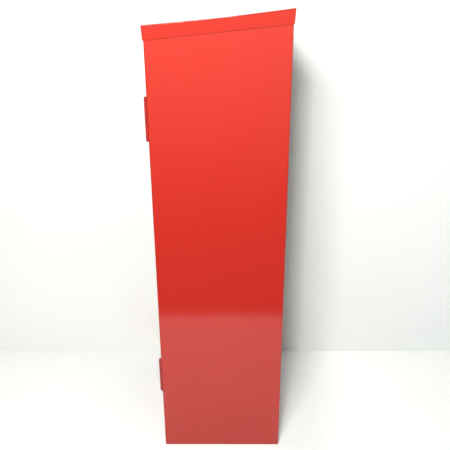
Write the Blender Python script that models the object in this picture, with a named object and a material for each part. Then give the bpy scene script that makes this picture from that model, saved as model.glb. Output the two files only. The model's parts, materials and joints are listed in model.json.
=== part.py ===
"""Book drop box: a sheet-metal cabinet with a sloped cap, a full-height front door with a book
slot, and a collection bin with a spring-hung platform.

The front faces -Y, +Z is up, and the ground is at z = 0. Lengths are in millimetres until a mesh
is stored. Y values are about the centre of the cabinet's footprint; SHIFT then moves everything
back, so that the origin lies close to the bottom centre of the bounding box.
"""

import math

import bmesh
import bpy
from mathutils import Matrix, Vector

X, Y, Z = range(3)                 # axis numbers
MM = 0.001                         # metres in a millimetre
SHIFT = Vector((0.0, 16.0, 0.0))   # makes room for the lever in front

# ---- sheet metal
SHEET = 1.5
BEND = 3.0                         # outside bend radius
LAP = 0.3                          # clearance between neighbouring parts

# ---- cabinet
WIDTH, DEPTH = 400.0, 340.0
FRONT, BACK = -DEPTH / 2, DEPTH / 2
INNER_X = WIDTH / 2 - SHEET        # inner face of a side panel
SHELL_Z = 1.2                      # bottom of the shell, above the ground
FLANGE = 14.0                      # return flange width of a side panel
LID_FRONT = 1183.6                 # lid top at the front edge
SLOPE = math.tan(math.radians(5.51))
SKIRT = 33.0                       # lid skirt height
HEADER_Z, SILL_Z = 1149.0, 44.0    # faces of the header and sill towards the door
RAIL_RETURN = 24.0                 # depth of the header and sill returns
FOOT_FLANGE_Z = 2.5
BASE_Z = FOOT_FLANGE_Z + LAP       # underside of the base tray
ON_BASE_Z = BASE_Z + SHEET + LAP   # where parts stand in the base tray
STOP_Y = -146.0                    # front face of the door stop
RUNNER_Z = 45.5                    # underside of a runner's crown

# ---- door
DOOR_GAP = 3.0
DOOR_Z0, DOOR_Z1 = SILL_Z + DOOR_GAP, HEADER_Z - DOOR_GAP
DOOR_X = 184.0                     # half width
DOOR_DEEP = 18.0                   # depth of the returns
ON_DOOR_Y = FRONT + SHEET + LAP    # where parts lie behind the door sheet
SLOT_X, SLOT_Z0, SLOT_Z1 = 150.0, 985.0, 1060.0

# ---- slot flap
FLAP_Y, FLAP_Z = -163.5, 1068.0    # pivot line
FLAP_ROD_R, FLAP_BORE = 3.0, 3.08
FLAP_CURL_R = FLAP_BORE + SHEET
FLAP_END_Z = 979.0
FLAP_X = 153.5                     # half width
FLAP_ORIGIN = (0, FLAP_Y, FLAP_Z)

# ---- hinges
KNUCKLE_R, KNUCKLE_BORE, PIN_R = 4.0, 2.62, 2.5
HINGE_X, HINGE_Y = DOOR_X + 2.0, FRONT - KNUCKLE_R - LAP
HINGE_LEN = 102.0
HINGE_Z = (("lower", 191.0), ("upper", 921.0))
KNUCKLES = (0.0, 13.0, 38.0, 64.0, 89.0, HINGE_LEN)   # joints along the barrel

# ---- handle and lock
HANDLE_X, HANDLE_Z = -156.0, 620.0
HANDLE = (HANDLE_X, FRONT, HANDLE_Z)
SPINDLE_BORE = 5.15
THROW = 12.0                       # drive pins are this far from the spindle in X and in Z
PIN_DRIVE_R = 2.5
ROD_OFFSET = 15.0
UPPER_ROD_X, LOWER_ROD_X = HANDLE_X - ROD_OFFSET, HANDLE_X + ROD_OFFSET
ROD_Y0, ROD_Y1 = -160.0, -157.0
ROD_HALF = 6.0                     # half width
ROD_INSET = 2.0                    # rod tips stop this far inside the door's ends
CAM_Y0, CAM_Y1 = ROD_Y1 + 0.8, ROD_Y1 + 3.8

# ---- bin and platform
BIN_X, BIN_Y = 165.0, 138.0        # half sizes
BIN_Z0, BIN_Z1 = RUNNER_Z + SHEET + LAP, 860.0
BIN_SHEET = 1.2
RIM_OUT = 2.0                      # how far the rim stands outside the walls
SPRING_X, SPRING_Y = 148.0, 121.0
SPRING_HOLE_R = 3.0
TRAY_Z = 600.0                     # platform top
TRAY_X, TRAY_Y, TRAY_DEEP = 158.0, 120.0, 22.0

# name, X side, Y side
CORNERS = (
    ("front_right", 1, -1), ("front_left", -1, -1),
    ("back_right", 1, 1), ("back_left", -1, 1),
)
SIDES = (("right", 1), ("left", -1))

# base colour, roughness, metallic, coat weight
LOOKS = {
    "red": ((0.62, 0.035, 0.022), 0.28, 0.0, 0.6),
    "zinc": ((0.55, 0.56, 0.57), 0.38, 1.0, 0.0),
    "galv": ((0.60, 0.62, 0.63), 0.45, 1.0, 0.0),
    "steel": ((0.50, 0.50, 0.50), 0.30, 1.0, 0.0),
    "chrome": ((0.80, 0.80, 0.82), 0.12, 1.0, 0.0),
    "black": ((0.03, 0.03, 0.03), 0.75, 0.0, 0.0),
    "nylon": ((0.75, 0.74, 0.70), 0.50, 0.0, 0.0),
    "felt": ((0.12, 0.14, 0.16), 0.95, 0.0, 0.0),
    "brass": ((0.70, 0.52, 0.22), 0.30, 1.0, 0.0),
}


# ================================================================ objects and materials
def material(name, look):
    colour, roughness, metallic, coat = LOOKS[look]
    mat = bpy.data.materials.new(name)
    mat.use_nodes = True
    shader = next(n for n in mat.node_tree.nodes if n.type == "BSDF_PRINCIPLED")
    shader.inputs["Base Color"].default_value = (*colour, 1.0)
    shader.inputs["Roughness"].default_value = roughness
    shader.inputs["Metallic"].default_value = metallic
    shader.inputs["Coat Weight"].default_value = coat
    return mat


def link_mesh(name, mesh_name, bm, offset):
    """Move a bmesh by an offset, scale it to metres and link it as an object."""
    bmesh.ops.recalc_face_normals(bm, faces=bm.faces[:])
    to_metres = Matrix.Scale(MM, 4) @ Matrix.Translation(offset)
    bmesh.ops.transform(bm, matrix=to_metres, verts=bm.verts[:])
    mesh = bpy.data.meshes.new(mesh_name)
    bm.to_mesh(mesh)
    bm.free()
    ob = bpy.data.objects.new(name, mesh)
    bpy.context.scene.collection.objects.link(ob)
    return ob


def finish(name, bm, look, smooth=True, origin=(0, 0, 0)):
    """Make a named piece with its own material and its origin on the point given."""
    origin = Vector(origin)
    ob = link_mesh(name, name, bm, -origin)
    ob.location = (origin + SHIFT) * MM
    ob.data.materials.append(material(name + "_mat", look))
    if smooth:
        for polygon in ob.data.polygons:
            polygon.use_smooth = True
        ob.data.set_sharp_from_angle(angle=math.radians(35))
    return ob


CUTTERS = []


def cut(ob, bm, operation="DIFFERENCE"):
    """Boolean a piece with a tool solid that is hidden from renders."""
    tool = link_mesh("cutter_%02d" % len(CUTTERS), "cutter", bm, SHIFT)
    tool.hide_render = True
    tool.display_type = "WIRE"
    CUTTERS.append(tool)
    modifier = ob.modifiers.new("cut%d" % len(CUTTERS), "BOOLEAN")
    modifier.operation = operation
    modifier.solver = "EXACT"
    modifier.object = tool


def cut_box(ob, low, high, bevel=0.0, segments=1, along=None):
    cut(ob, box(low, high, bevel, segments, along))


def cut_hole(ob, centre, axis, radius, start, end, sides=20):
    cut(ob, cylinder(centre, axis, radius, start, end, sides))


def cut_rod_slot(ob, x, clear_x, clear_y, z0, z1):
    """Cut room for a lock rod, with the clearances given on each side of it."""
    half = ROD_HALF + clear_x
    cut_box(ob, (x - half, ROD_Y0 - clear_y, z0), (x + half, ROD_Y1 + clear_y, z1))


# ================================================================ outlines
def mirrored(points, axis=X):
    """Mirror a 2-D outline by negating one coordinate, keeping its turning sense."""
    scale = (-1, 1) if axis == X else (1, -1)
    return [(p[0] * scale[0], p[1] * scale[1]) for p in points][::-1]


def moved(points, offset):
    """Move a 2-D outline along its first coordinate."""
    return [(p[0] + offset, p[1]) for p in points]


def arc(centre_u, centre_v, radius, start, end, steps):
    """Points on an arc, its angles in degrees."""
    angles = [math.radians(start + (end - start) * i / steps) for i in range(steps + 1)]
    return [(centre_u + radius * math.cos(a), centre_v + radius * math.sin(a)) for a in angles]


def sheet(path, thickness, radius, steps=3):
    """Outline of a sheet lying to the left of an open path.

    The radius is that of the outside of each bend.
    """
    points = [Vector(p) for p in path]
    near, far = [], []
    for i, point in enumerate(points):
        if i in (0, len(points) - 1):
            along = points[1] - points[0] if i == 0 else points[-1] - points[-2]
            normal = Vector((-along.y, along.x)).normalized()
            near.append(tuple(point))
            far.append(tuple(point + normal * thickness))
            continue
        before = (point - points[i - 1]).normalized()
        after = (points[i + 1] - point).normalized()
        normal = Vector((-before.y, before.x))
        # a left turn (+1) puts the path on the outside of the bend
        turn = 1 if before.x * after.y - before.y * after.x > 0 else -1
        angle = math.acos(max(-1.0, min(1.0, before.dot(after))))
        near_r = radius if turn > 0 else max(radius - thickness, 0.4)
        far_r = near_r - turn * thickness
        start = point - before * (near_r * math.tan(angle / 2))
        centre = start + normal * turn * near_r
        arm = start - centre
        for k in range(steps + 1):
            a = turn * angle * k / steps
            spoke = Vector((arm.x * math.cos(a) - arm.y * math.sin(a),
                            arm.x * math.sin(a) + arm.y * math.cos(a)))
            near.append(tuple(centre + spoke))
            far.append(tuple(centre + spoke * (far_r / near_r)))
    return near + far[::-1]


def tray_loops(depth, thickness, radius, steps=3):
    """Loops for pan(): a tray with its face at height 0 and returns up to the depth.

    Also gives the number of the loop that bounds the outer face.
    """
    def bend(r, i):
        angle = math.radians(90 * i / steps)
        return radius - r * math.cos(angle), radius - r * math.sin(angle)

    outer = [bend(radius, i) for i in range(steps + 1)]
    inner = [bend(radius - thickness, i) for i in range(steps, -1, -1)]
    return [(0.0, depth)] + outer + inner + [(thickness, depth)], steps + 1


# ================================================================ solids, each a new bmesh
def lift(pair, axis, height):
    """Complete a pair of coordinates with a height along the remaining axis."""
    point = list(pair)
    point.insert(axis, height)
    return point


def box(low, high, bevel=0.0, segments=1, along=None):
    """Box between two corners; `along` limits the bevel to edges parallel to that axis."""
    bm = bmesh.new()
    size = Vector(high) - Vector(low)
    middle = (Vector(high) + Vector(low)) / 2
    matrix = Matrix.Translation(middle) @ Matrix.Diagonal((*size, 1.0))
    cube = bmesh.ops.create_cube(bm, size=1.0, matrix=matrix)
    if bevel:
        edges = list({e for v in cube["verts"] for e in v.link_edges})
        if along is not None:
            edges = [e for e in edges
                     if abs((e.verts[1].co - e.verts[0].co).normalized()[along]) > 0.9]
        bmesh.ops.bevel(bm, geom=edges, offset=bevel, offset_type="OFFSET", segments=segments,
                        profile=0.5, affect="EDGES", clamp_overlap=True)
    return bm


def extrude(points, axis, start, end):
    """Extrude a closed outline; its points hold the other two coordinates in X, Y, Z order."""
    bm = bmesh.new()
    face = bm.faces.new([bm.verts.new(lift(p, axis, start)) for p in points])
    out = bmesh.ops.extrude_face_region(bm, geom=[face])
    verts = [g for g in out["geom"] if isinstance(g, bmesh.types.BMVert)]
    bmesh.ops.translate(bm, vec=lift((0, 0), axis, end - start), verts=verts)
    return bm


def cylinder(centre, axis, radius, start, end, sides=24):
    turns = (Matrix.Rotation(math.pi / 2, 4, "Y"), Matrix.Rotation(-math.pi / 2, 4, "X"),
             Matrix.Identity(4))
    middle = lift(centre, axis, (start + end) / 2)
    bm = bmesh.new()
    bmesh.ops.create_cone(bm, cap_ends=True, segments=sides, radius1=radius, radius2=radius,
                          depth=end - start, matrix=Matrix.Translation(middle) @ turns[axis])
    return bm


def lathe(centre, axis, profile, sides=24):
    """Spin a (radius, height) profile; it is closed up if it starts off the axis."""
    bm = bmesh.new()
    rings = []
    for radius, height in profile:
        ring = []
        for k in range(sides if radius > 1e-6 else 1):
            a = 2 * math.pi * k / sides
            pair = (centre[0] + radius * math.cos(a), centre[1] + radius * math.sin(a))
            ring.append(bm.verts.new(lift(pair, axis, height)))
        rings.append(ring)
    closed = profile[0][0] > 1e-6
    for i in range(len(rings) if closed else len(rings) - 1):
        a, b = rings[i], rings[(i + 1) % len(rings)]
        if len(a) == 1 and len(b) == 1:
            continue
        for k in range(sides):
            q = (k + 1) % sides
            if len(a) == 1:
                bm.faces.new((a[0], b[k], b[q]))
            elif len(b) == 1:
                bm.faces.new((a[k], a[q], b[0]))
            else:
                bm.faces.new((a[k], a[q], b[q], b[k]))
    return bm


def skin(bm, rings, closed=True, skip=None):
    """Join each ring to the next, and the last to the first if closed.

    The step that starts at ring `skip` is left open.
    """
    for i in range(len(rings) if closed else len(rings) - 1):
        if i == skip:
            continue
        a, b = rings[i], rings[(i + 1) % len(rings)]
        for k in range(len(a)):
            q = (k + 1) % len(a)
            bm.faces.new((a[k], a[q], b[q], b[k]))


def tube(rings):
    """Solid through rings of points, with flat ends."""
    bm = bmesh.new()
    rings = [[bm.verts.new(p) for p in ring] for ring in rings]
    skin(bm, rings, closed=False)
    bm.faces.new(rings[0])
    bm.faces.new(rings[-1][::-1])
    return bm


def pan(u_range, v_range, loops, place, cap=None):
    """One closed skin through rectangular loops, each (inset, height).

    Loops `cap` and `cap + 1` each get a flat face; `place` maps (u, v, height) to X, Y, Z.
    """
    bm = bmesh.new()
    rings = []
    for inset, h in loops:
        u0, u1 = u_range[0] + inset, u_range[1] - inset
        v0, v1 = v_range[0] + inset, v_range[1] - inset
        corners = ((u0, v0), (u1, v0), (u1, v1), (u0, v1))
        rings.append([bm.verts.new(place(u, v, h)) for u, v in corners])
    skin(bm, rings, skip=cap)
    if cap is not None:
        bm.faces.new(rings[cap])
        bm.faces.new(rings[cap + 1][::-1])
    return bm


# ================================================================ cabinet shell
def side_panels():
    x = WIDTH / 2
    outline = sheet([(x - FLANGE, FRONT), (x, FRONT), (x, BACK), (x - FLANGE, BACK)],
                    SHEET, BEND)
    blank_top = 1000.0             # replaced by the slope below
    for name, side in SIDES:
        points = outline if side > 0 else mirrored(outline)
        bm = extrude(points, Z, SHELL_Z, blank_top)
        for v in bm.verts:
            if v.co.z > blank_top / 2:
                v.co.z = LID_FRONT + SLOPE * (v.co.y - FRONT) - SHEET - 5.0
        finish("side_panel_" + name, bm, "red")


def back_panel():
    """A sheet lapped inside the rear flanges, its centre field pressed out flush with them."""
    x, y = INNER_X - 1.3, BACK - SHEET - LAP
    inset = x - (WIDTH / 2 - FLANGE - 2.5)
    loops = [(0.0, y), (inset - 2.0, y), (inset, BACK),
             (inset + 0.6, BACK - SHEET), (inset - 1.4, y - SHEET), (0.0, y - SHEET)]
    bm = pan((-x, x), (3.0, 1196.0), loops, lambda u, v, h: (u, h, v), cap=2)
    finish("back_panel", bm, "red", smooth=False)


def roof_cap():
    """Inverted tray sheared to the roof slope, its skirts flaring a little towards the top."""
    flare, sag, radius = 1.7, 2.4, 2.0   # sag: the dip of the top at mid-depth
    steps = 8                            # divisions from front to back

    def bend(r, degrees):
        a = math.radians(degrees)
        return radius - r * math.cos(a), SKIRT - radius + r * math.sin(a)

    outer = [(flare, 0.0)] + [bend(radius, a) for a in (0, 30, 60, 90)]
    inner = [bend(radius - SHEET, a) for a in (90, 45, 0)] + [(flare + SHEET, 0.0)]
    cap = len(outer) - 1
    bm = bmesh.new()
    rings = []
    for inset, h in outer + inner:
        grow = LAP + SHEET + flare - inset
        half_x, half_y = WIDTH / 2 + grow, DEPTH / 2 + grow
        outline = [(-half_x, -half_y + 2 * half_y * k / steps) for k in range(steps + 1)]
        outline += [(half_x, half_y - 2 * half_y * k / steps) for k in range(steps + 1)]
        ring = []
        for x, y in outline:
            z = LID_FRONT - SKIRT + h + SLOPE * (y - FRONT)
            z -= (h / SKIRT) * sag * (1.0 - (y / half_y) ** 2)
            ring.append(bm.verts.new((x, y, z)))
        rings.append(ring)
    skin(bm, rings, skip=cap)
    for ring in rings[cap:cap + 2]:
        for k in range(steps):
            bm.faces.new((ring[k], ring[k + 1], ring[2 * steps - k], ring[2 * steps + 1 - k]))
    finish("roof_cap", bm, "red")


def front_rails():
    """Header and sill: angles above and below the door, their returns running back."""
    half = WIDTH / 2 - FLANGE - LAP
    back = FRONT + RAIL_RETURN
    paths = {
        "front_header": [(FRONT, 1175.0), (FRONT, HEADER_Z), (back, HEADER_Z)],
        "front_sill": [(back, SILL_Z), (FRONT, SILL_Z), (FRONT, SHELL_Z)],
    }
    return [finish(name, extrude(sheet(path, SHEET, BEND), X, -half, half), "red")
            for name, path in paths.items()]


def base_and_feet():
    x, y = INNER_X - 1.0, DEPTH / 2 - SHEET - 1.0
    loops, cap = tray_loops(34.0, SHEET, BEND)
    bm = pan((-x, x), (-y, y - SHEET), loops, lambda u, v, h: (u, v, h + BASE_Z), cap)
    base = finish("base_pan", bm, "red", smooth=False)

    foot = [(0, 0.0), (13.0, 0.0), (14.0, 1.0), (14.0, FOOT_FLANGE_Z), (4.0, FOOT_FLANGE_Z),
            (4.0, ON_BASE_Z), (0, ON_BASE_Z)]
    for name, side_x, side_y in CORNERS:
        centre = (side_x * 165, -140 if side_y < 0 else 135)
        cut_hole(base, centre, Z, 4.4, 0.0, 10.0, 16)
        finish("foot_" + name, lathe(centre, Z, foot, 20), "black", origin=(*centre, 0))


def door_stop():
    """Angle inside the latch side, with two buffers on its front face."""
    x = -INNER_X + LAP
    outline = sheet([(x, -128.0), (x, STOP_Y), (-177.0, STOP_Y)], SHEET, BEND)
    finish("door_stop", extrude(outline, Z, 60.0, 1140.0), "red")
    y = STOP_Y - LAP
    profile = [(0, y - 5.4), (3.6, y - 5.4), (4.6, y - 4.3), (5.0, y), (0, y)]
    for name, z in (("upper", 850.0), ("lower", 300.0)):
        finish("door_buffer_" + name, lathe((-183.3, z), Y, profile, 16), "black")


def liners():
    """Sloping sheets ahead of and behind the drop into the bin; paths are (y, z)."""
    chute = [(-147.0, 972.0), (-144.0, 958.0), (-127.0, 878.0), (-127.0, 866.0)]
    finish("book_chute", extrude(sheet(chute, SHEET, 2.0), X, -174.0, 196.0), "galv")
    deflector = [(165.0, 1130.0), (165.0, 1105.0), (118.0, 885.0), (118.0, 868.0)]
    finish("rear_deflector", extrude(sheet(deflector, SHEET, 3.0), X, -196.0, 196.0), "galv")


def rod_keepers(header, sill):
    """Slotted plates on the hidden faces of the rail returns, where the lock rods land."""
    thick, half_x = 2.0, 15
    stand_off = SHEET + LAP
    for name, x, z0 in (("upper", UPPER_ROD_X, HEADER_Z + stand_off),
                        ("lower", LOWER_ROD_X, SILL_Z - stand_off - thick)):
        z1 = z0 + thick
        plate = box((x - half_x, -166.0, z0), (x + half_x, -149.0, z1), 2.0, 2, Z)
        keeper = finish("rod_keeper_" + name, plate, "zinc", smooth=False)
        cut_rod_slot(keeper, x, 1, 1, z0 - 5, z1 + 5)
    cut_rod_slot(header, UPPER_ROD_X, 2.5, 2, 1140, 1155)
    cut_rod_slot(sill, LOWER_ROD_X, 2.5, 2, 35, 50)


def bin_runners():
    """Hat sections running front to back in the base tray, under the bin."""
    path = [(-22, ON_BASE_Z), (-12, ON_BASE_Z), (-12, RUNNER_Z),
            (12, RUNNER_Z), (12, ON_BASE_Z), (22, ON_BASE_Z)]
    outline = sheet(path, SHEET, 2.5, 2)
    for name, side in SIDES:
        bm = extrude(moved(outline, side * 110.0), Y, -140.0, 140.0)
        finish("bin_runner_" + name, bm, "galv")


# ================================================================ collection bin
def bin_walls():
    for name, side in SIDES:
        x0, x1 = sorted((side * (BIN_X - BIN_SHEET), side * BIN_X))
        wall = finish("bin_side_" + name, box((x0, -BIN_Y, BIN_Z0), (x1, BIN_Y, BIN_Z1)),
                      "galv", smooth=False)
        # hand hole
        cut_box(wall, (x0 - 3, -48, 792), (x1 + 3, 48, 824), 12.0, 3, X)

    x, flange_y = BIN_X - BIN_SHEET - LAP, -BIN_Y + 14.0
    front = sheet([(-x, flange_y), (-x, -BIN_Y), (x, -BIN_Y), (x, flange_y)], BIN_SHEET, 2.0, 2)
    for name, points in (("bin_front", front), ("bin_back", mirrored(front, Y))):
        bm = extrude(points, Z, BIN_Z0 + BIN_SHEET + LAP, BIN_Z1 - 0.3)
        finish(name, bm, "galv")
    bm = box((-x, -BIN_Y, BIN_Z0), (x, BIN_Y, BIN_Z0 + BIN_SHEET))
    finish("bin_floor", bm, "galv", smooth=False)


def bin_rim():
    """Capping strip over the wall tops, with a drilled gusset in each corner for the springs."""
    # inset, height above the wall tops
    profile = [(0.0, -12), (0.0, 1.2), (2.0, 3.0), (4.4, 3.0), (4.4, 0.3), (1.7, 0.3),
               (1.7, -12)]
    x, y = BIN_X + RIM_OUT, BIN_Y + RIM_OUT
    bm = pan((-x, x), (-y, y), profile, lambda u, v, h: (u, v, BIN_Z1 + h))
    rim = finish("bin_rim", bm, "galv", smooth=False)
    leg, blunt = 44, 2             # gusset leg length and the width of its blunt tips
    for sx in (-1, 1):
        for sy in (-1, 1):
            x, y = sx * (BIN_X - 1.5), sy * (BIN_Y - 1.5)
            gusset = [(x, y), (x - sx * leg, y), (x - sx * leg, y - sy * blunt),
                      (x - sx * blunt, y - sy * leg), (x, y - sy * leg)]
            cut(rim, extrude(gusset, Z, BIN_Z1 + 0.8, BIN_Z1 + 2.6), "UNION")
            cut_hole(rim, (sx * SPRING_X, sy * SPRING_Y), Z, SPRING_HOLE_R,
                     BIN_Z1 - 5, BIN_Z1 + 8, 12)


def platform():
    """Downturned tray with a drilled tab at each corner, a pad on top and four guide shoes."""
    loops, cap = tray_loops(TRAY_DEEP, BIN_SHEET, 2.0)
    bm = pan((-TRAY_X, TRAY_X), (-TRAY_Y, TRAY_Y), loops,
             lambda u, v, h: (u, v, TRAY_Z - h), cap)
    tray = finish("platform_tray", bm, "galv")
    for sx in (-1, 1):
        for sy in (-1, 1):
            x0, x1, y0, y1 = sx * 120, sx * 157, sy * 116, sy * 134
            tab = [(x0, y0), (x1, y0), (x1, y1), (x0, y1)]
            cut(tray, extrude(tab, Z, TRAY_Z - BIN_SHEET, TRAY_Z), "UNION")
            cut_hole(tray, (sx * SPRING_X, sy * SPRING_Y), Z, SPRING_HOLE_R,
                     TRAY_Z - 8, TRAY_Z + 8, 12)
    bm = box((-134, -116, TRAY_Z + LAP), (134, 116, TRAY_Z + 4.3), 1.2, 2)
    finish("platform_pad", bm, "felt", smooth=False)
    for name, sx, sy in CORNERS:
        x0, x1 = sorted((sx * (TRAY_X + LAP), sx * 163.5))
        y = sy * 85
        bm = box((x0, y - 18, TRAY_Z - TRAY_DEEP), (x1, y + 18, TRAY_Z - 4), 0.8, 2)
        finish("guide_shoe_" + name, bm, "nylon", smooth=False)


def spring(name, x, y, z0, z1):
    """Extension spring: a helix with a tail at each end bent in towards the axis."""
    radius, wire_r, turns = 6.0, 1.0, 11
    steps, sides = 8, 4            # steps per turn, sides of the wire
    tail = 6                       # height of a tail
    total = turns * steps
    path = [Vector((x + radius * 0.35, y, z0)), Vector((x + radius * 0.9, y, z0 + tail / 2))]
    for i in range(total + 1):
        a = 2 * math.pi * i / steps
        z = z0 + tail + (z1 - z0 - 2 * tail) * i / total
        path.append(Vector((x + radius * math.cos(a), y + radius * math.sin(a), z)))
    path.append(Vector((x + radius * 0.9, y, z1 - tail / 2)))
    path.append(Vector((x + radius * 0.35, y, z1)))

    rings = []
    for i, point in enumerate(path):
        along = (path[min(i + 1, len(path) - 1)] - path[max(i - 1, 0)]).normalized()
        out = Vector((point.x - x, point.y - y, 0)).normalized()
        out = (out - along * out.dot(along)).normalized()
        across = along.cross(out)
        angles = [2 * math.pi * k / sides for k in range(sides)]
        rings.append([point + (out * math.cos(a) + across * math.sin(a)) * wire_r
                      for a in angles])
    finish(name, tube(rings), "steel", origin=(x, y, z1))


def lift_springs():
    for name, sx, sy in CORNERS:
        spring("lift_spring_" + name, sx * SPRING_X, sy * SPRING_Y, TRAY_Z + 0.3, BIN_Z1 + 0.4)


# ================================================================ door
def door_skin():
    loops, cap = tray_loops(DOOR_DEEP, SHEET, BEND)
    bm = pan((-DOOR_X, DOOR_X), (DOOR_Z0, DOOR_Z1), loops,
             lambda u, v, h: (u, FRONT + h, v), cap)
    door = finish("door_skin", bm, "red", origin=(HINGE_X, HINGE_Y, 0))
    cut_box(door, (-SLOT_X - 4, FRONT - 5, SLOT_Z0 - 4), (SLOT_X + 4, FRONT + 5, SLOT_Z1 + 4),
            6.0, 3, Y)
    cut_hole(door, (HANDLE_X, HANDLE_Z), Y, 9.0, FRONT - 5, FRONT + 5, 20)
    cut_rod_slot(door, UPPER_ROD_X, 2, 1.5, DOOR_Z1 - 10, DOOR_Z1 + 5)
    cut_rod_slot(door, LOWER_ROD_X, 2, 1.5, DOOR_Z0 - 5, DOOR_Z0 + 10)


def door_fittings():
    """Vertical hat stiffener and two rod guides behind the door; paths are (x, y)."""
    crown_y = FRONT + 14
    path = [(-30, ON_DOOR_Y), (-16, ON_DOOR_Y), (-16, crown_y),
            (16, crown_y), (16, ON_DOOR_Y), (30, ON_DOOR_Y)]
    outline = moved(sheet(path, 1.2, 2.0, 2), 40)
    finish("door_stiffener", extrude(outline, Z, 70.0, 950.0), "red")

    guide_y = ROD_Y1 + 1.9
    path = [(-9.3, ON_DOOR_Y), (-6.9, ON_DOOR_Y), (-6.9, guide_y),
            (6.9, guide_y), (6.9, ON_DOOR_Y), (14, ON_DOOR_Y)]
    outline = sheet(path, 1.2, 1.6, 2)
    for name, x, z in (("upper", UPPER_ROD_X, 900.0), ("lower", LOWER_ROD_X, 300.0)):
        finish("rod_guide_" + name, extrude(moved(outline, x), Z, z, z + 20.0), "zinc")


def slot_bezel():
    """Frame on the door's face whose lip lines the opening."""
    width = 12.5
    # inset from the outer edge, depth behind the door's face
    profile = [(0.0, -LAP), (0.0, -1.6), (1.2, -2.8), (11.0, -2.8), (width, -1.6),
               (width, SHEET + 0.1), (11.0, SHEET + 0.1), (11.0, -LAP)]
    bm = bmesh.new()
    rings = []
    for inset, depth in profile:
        grow = width - inset
        x, z0, z1 = SLOT_X + grow, SLOT_Z0 - grow, SLOT_Z1 + grow
        c = 5.0 + grow * 0.4       # length taken off each side at a corner
        m = 0.3 * c                # the corner's middle point
        outline = [
            (-x + c, z0), (x - c, z0), (x - m, z0 + m), (x, z0 + c),
            (x, z1 - c), (x - m, z1 - m), (x - c, z1), (-x + c, z1),
            (-x + m, z1 - m), (-x, z1 - c), (-x, z0 + c), (-x + m, z0 + m),
        ]
        rings.append([bm.verts.new((u, FRONT + depth, v)) for u, v in outline])
    skin(bm, rings)
    finish("slot_bezel", bm, "zinc")


def flap_pivot():
    """Brackets behind the door and a rod through them."""
    rod_x = 160.2
    path = [(156.4, -156.0), (156.4, ON_DOOR_Y), (rod_x, ON_DOOR_Y)]
    outline = sheet(path, SHEET, 1.6, 2)
    for name, side in SIDES:
        points = outline if side > 0 else mirrored(outline)
        bracket = finish("flap_bracket_" + name, extrude(points, Z, FLAP_Z - 8.0, FLAP_Z + 8.0),
                         "zinc")
        x0, x1 = sorted((side * 140, side * 170))
        cut_hole(bracket, (FLAP_Y, FLAP_Z), X, FLAP_BORE, x0, x1, 24)
    finish("flap_rod", cylinder((FLAP_Y, FLAP_Z), X, FLAP_ROD_R, -rod_x, rod_x), "steel",
           origin=FLAP_ORIGIN)


def slot_flap():
    """Sheet whose top edge curls round the rod, and a channel trim over its lower edge."""
    front, back = FLAP_Y - FLAP_CURL_R, FLAP_Y - FLAP_BORE
    points = [(front, FLAP_END_Z)]
    points += arc(FLAP_Y, FLAP_Z, FLAP_CURL_R, 180.0, -120.0, 14)
    points += arc(FLAP_Y, FLAP_Z, FLAP_BORE, -120.0, 180.0, 14)
    points += [(back, FLAP_END_Z)]
    finish("slot_flap", extrude(points, X, -FLAP_X, FLAP_X), "red", origin=FLAP_ORIGIN)

    # y, height above the flap's lower edge
    trim = [(front, -0.3), (back + 0.3, -0.3), (back + 0.3, 7), (back + 1.5, 7),
            (back + 1.5, -1.0), (back + 0.7, -1.9), (front + 0.4, -1.9), (front, -1.4)]
    points = [(y, FLAP_END_Z + h) for y, h in trim]
    finish("flap_trim", extrude(points, X, -FLAP_X, FLAP_X), "black", smooth=False,
           origin=FLAP_ORIGIN)


# ================================================================ hinges
def hinge_leaf(name, z0, tail, side, own):
    """Leaf curled into knuckles, its tail towards `side` in X; `own` numbers its knuckles."""
    # the tail leaves the barrel on its back tangent, and the curl ends clear of it
    points = [(tail, KNUCKLE_R)] + arc(0, 0, KNUCKLE_R, 90.0, 390.0, 16)
    points += arc(0, 0, KNUCKLE_BORE, 390.0, 90.0, 16) + [(tail, KNUCKLE_BORE)]
    if side < 0:
        points = mirrored(points)
    points = [(HINGE_X + x, HINGE_Y + y) for x, y in points]
    leaf = finish(name, extrude(points, Z, z0, z0 + HINGE_LEN), "red",
                  origin=(HINGE_X, HINGE_Y, z0))
    x0, x1 = sorted((HINGE_X - side * 6.0, HINGE_X + side * 4.8))
    last = len(KNUCKLES) - 2
    for i in range(last + 1):
        if i in own:
            continue
        # end knuckles are cut right through the end of the leaf
        low = z0 + KNUCKLES[i] - 0.3 - (5 if i == 0 else 0)
        high = z0 + KNUCKLES[i + 1] + 0.3 + (5 if i == last else 0)
        cut_box(leaf, (x0, HINGE_Y - 6, low), (x1, HINGE_Y + 6, high))


def hinges():
    # radius, distance beyond the barrel's end, from the tip of a pin head inwards
    head = [(0, 2.8), (2.6, 2.8), (3.7, 1.8), (3.7, 0.3), (PIN_R, 0.3)]
    for name, z0 in HINGE_Z:
        hinge_leaf("hinge_frame_leaf_" + name, z0, 12.5, 1, (0, 2, 4))
        hinge_leaf("hinge_door_leaf_" + name, z0, 21.5, -1, (1, 3))
        pin = [(r, z0 - h) for r, h in head]
        pin += [(r, z0 + HINGE_LEN + h) for r, h in head[::-1]]
        finish("hinge_pin_" + name, lathe((HINGE_X, HINGE_Y), Z, pin, 20), "red",
               origin=(HINGE_X, HINGE_Y, z0))


# ================================================================ handle, cam and rods
def handle_part(name, profile, look, sides):
    """Turned part on the spindle line; profile is (radius, depth behind the door's face)."""
    heights = [(r, FRONT + depth) for r, depth in profile]
    return finish(name, lathe((HANDLE_X, HANDLE_Z), Y, heights, sides), look, origin=HANDLE)


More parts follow.
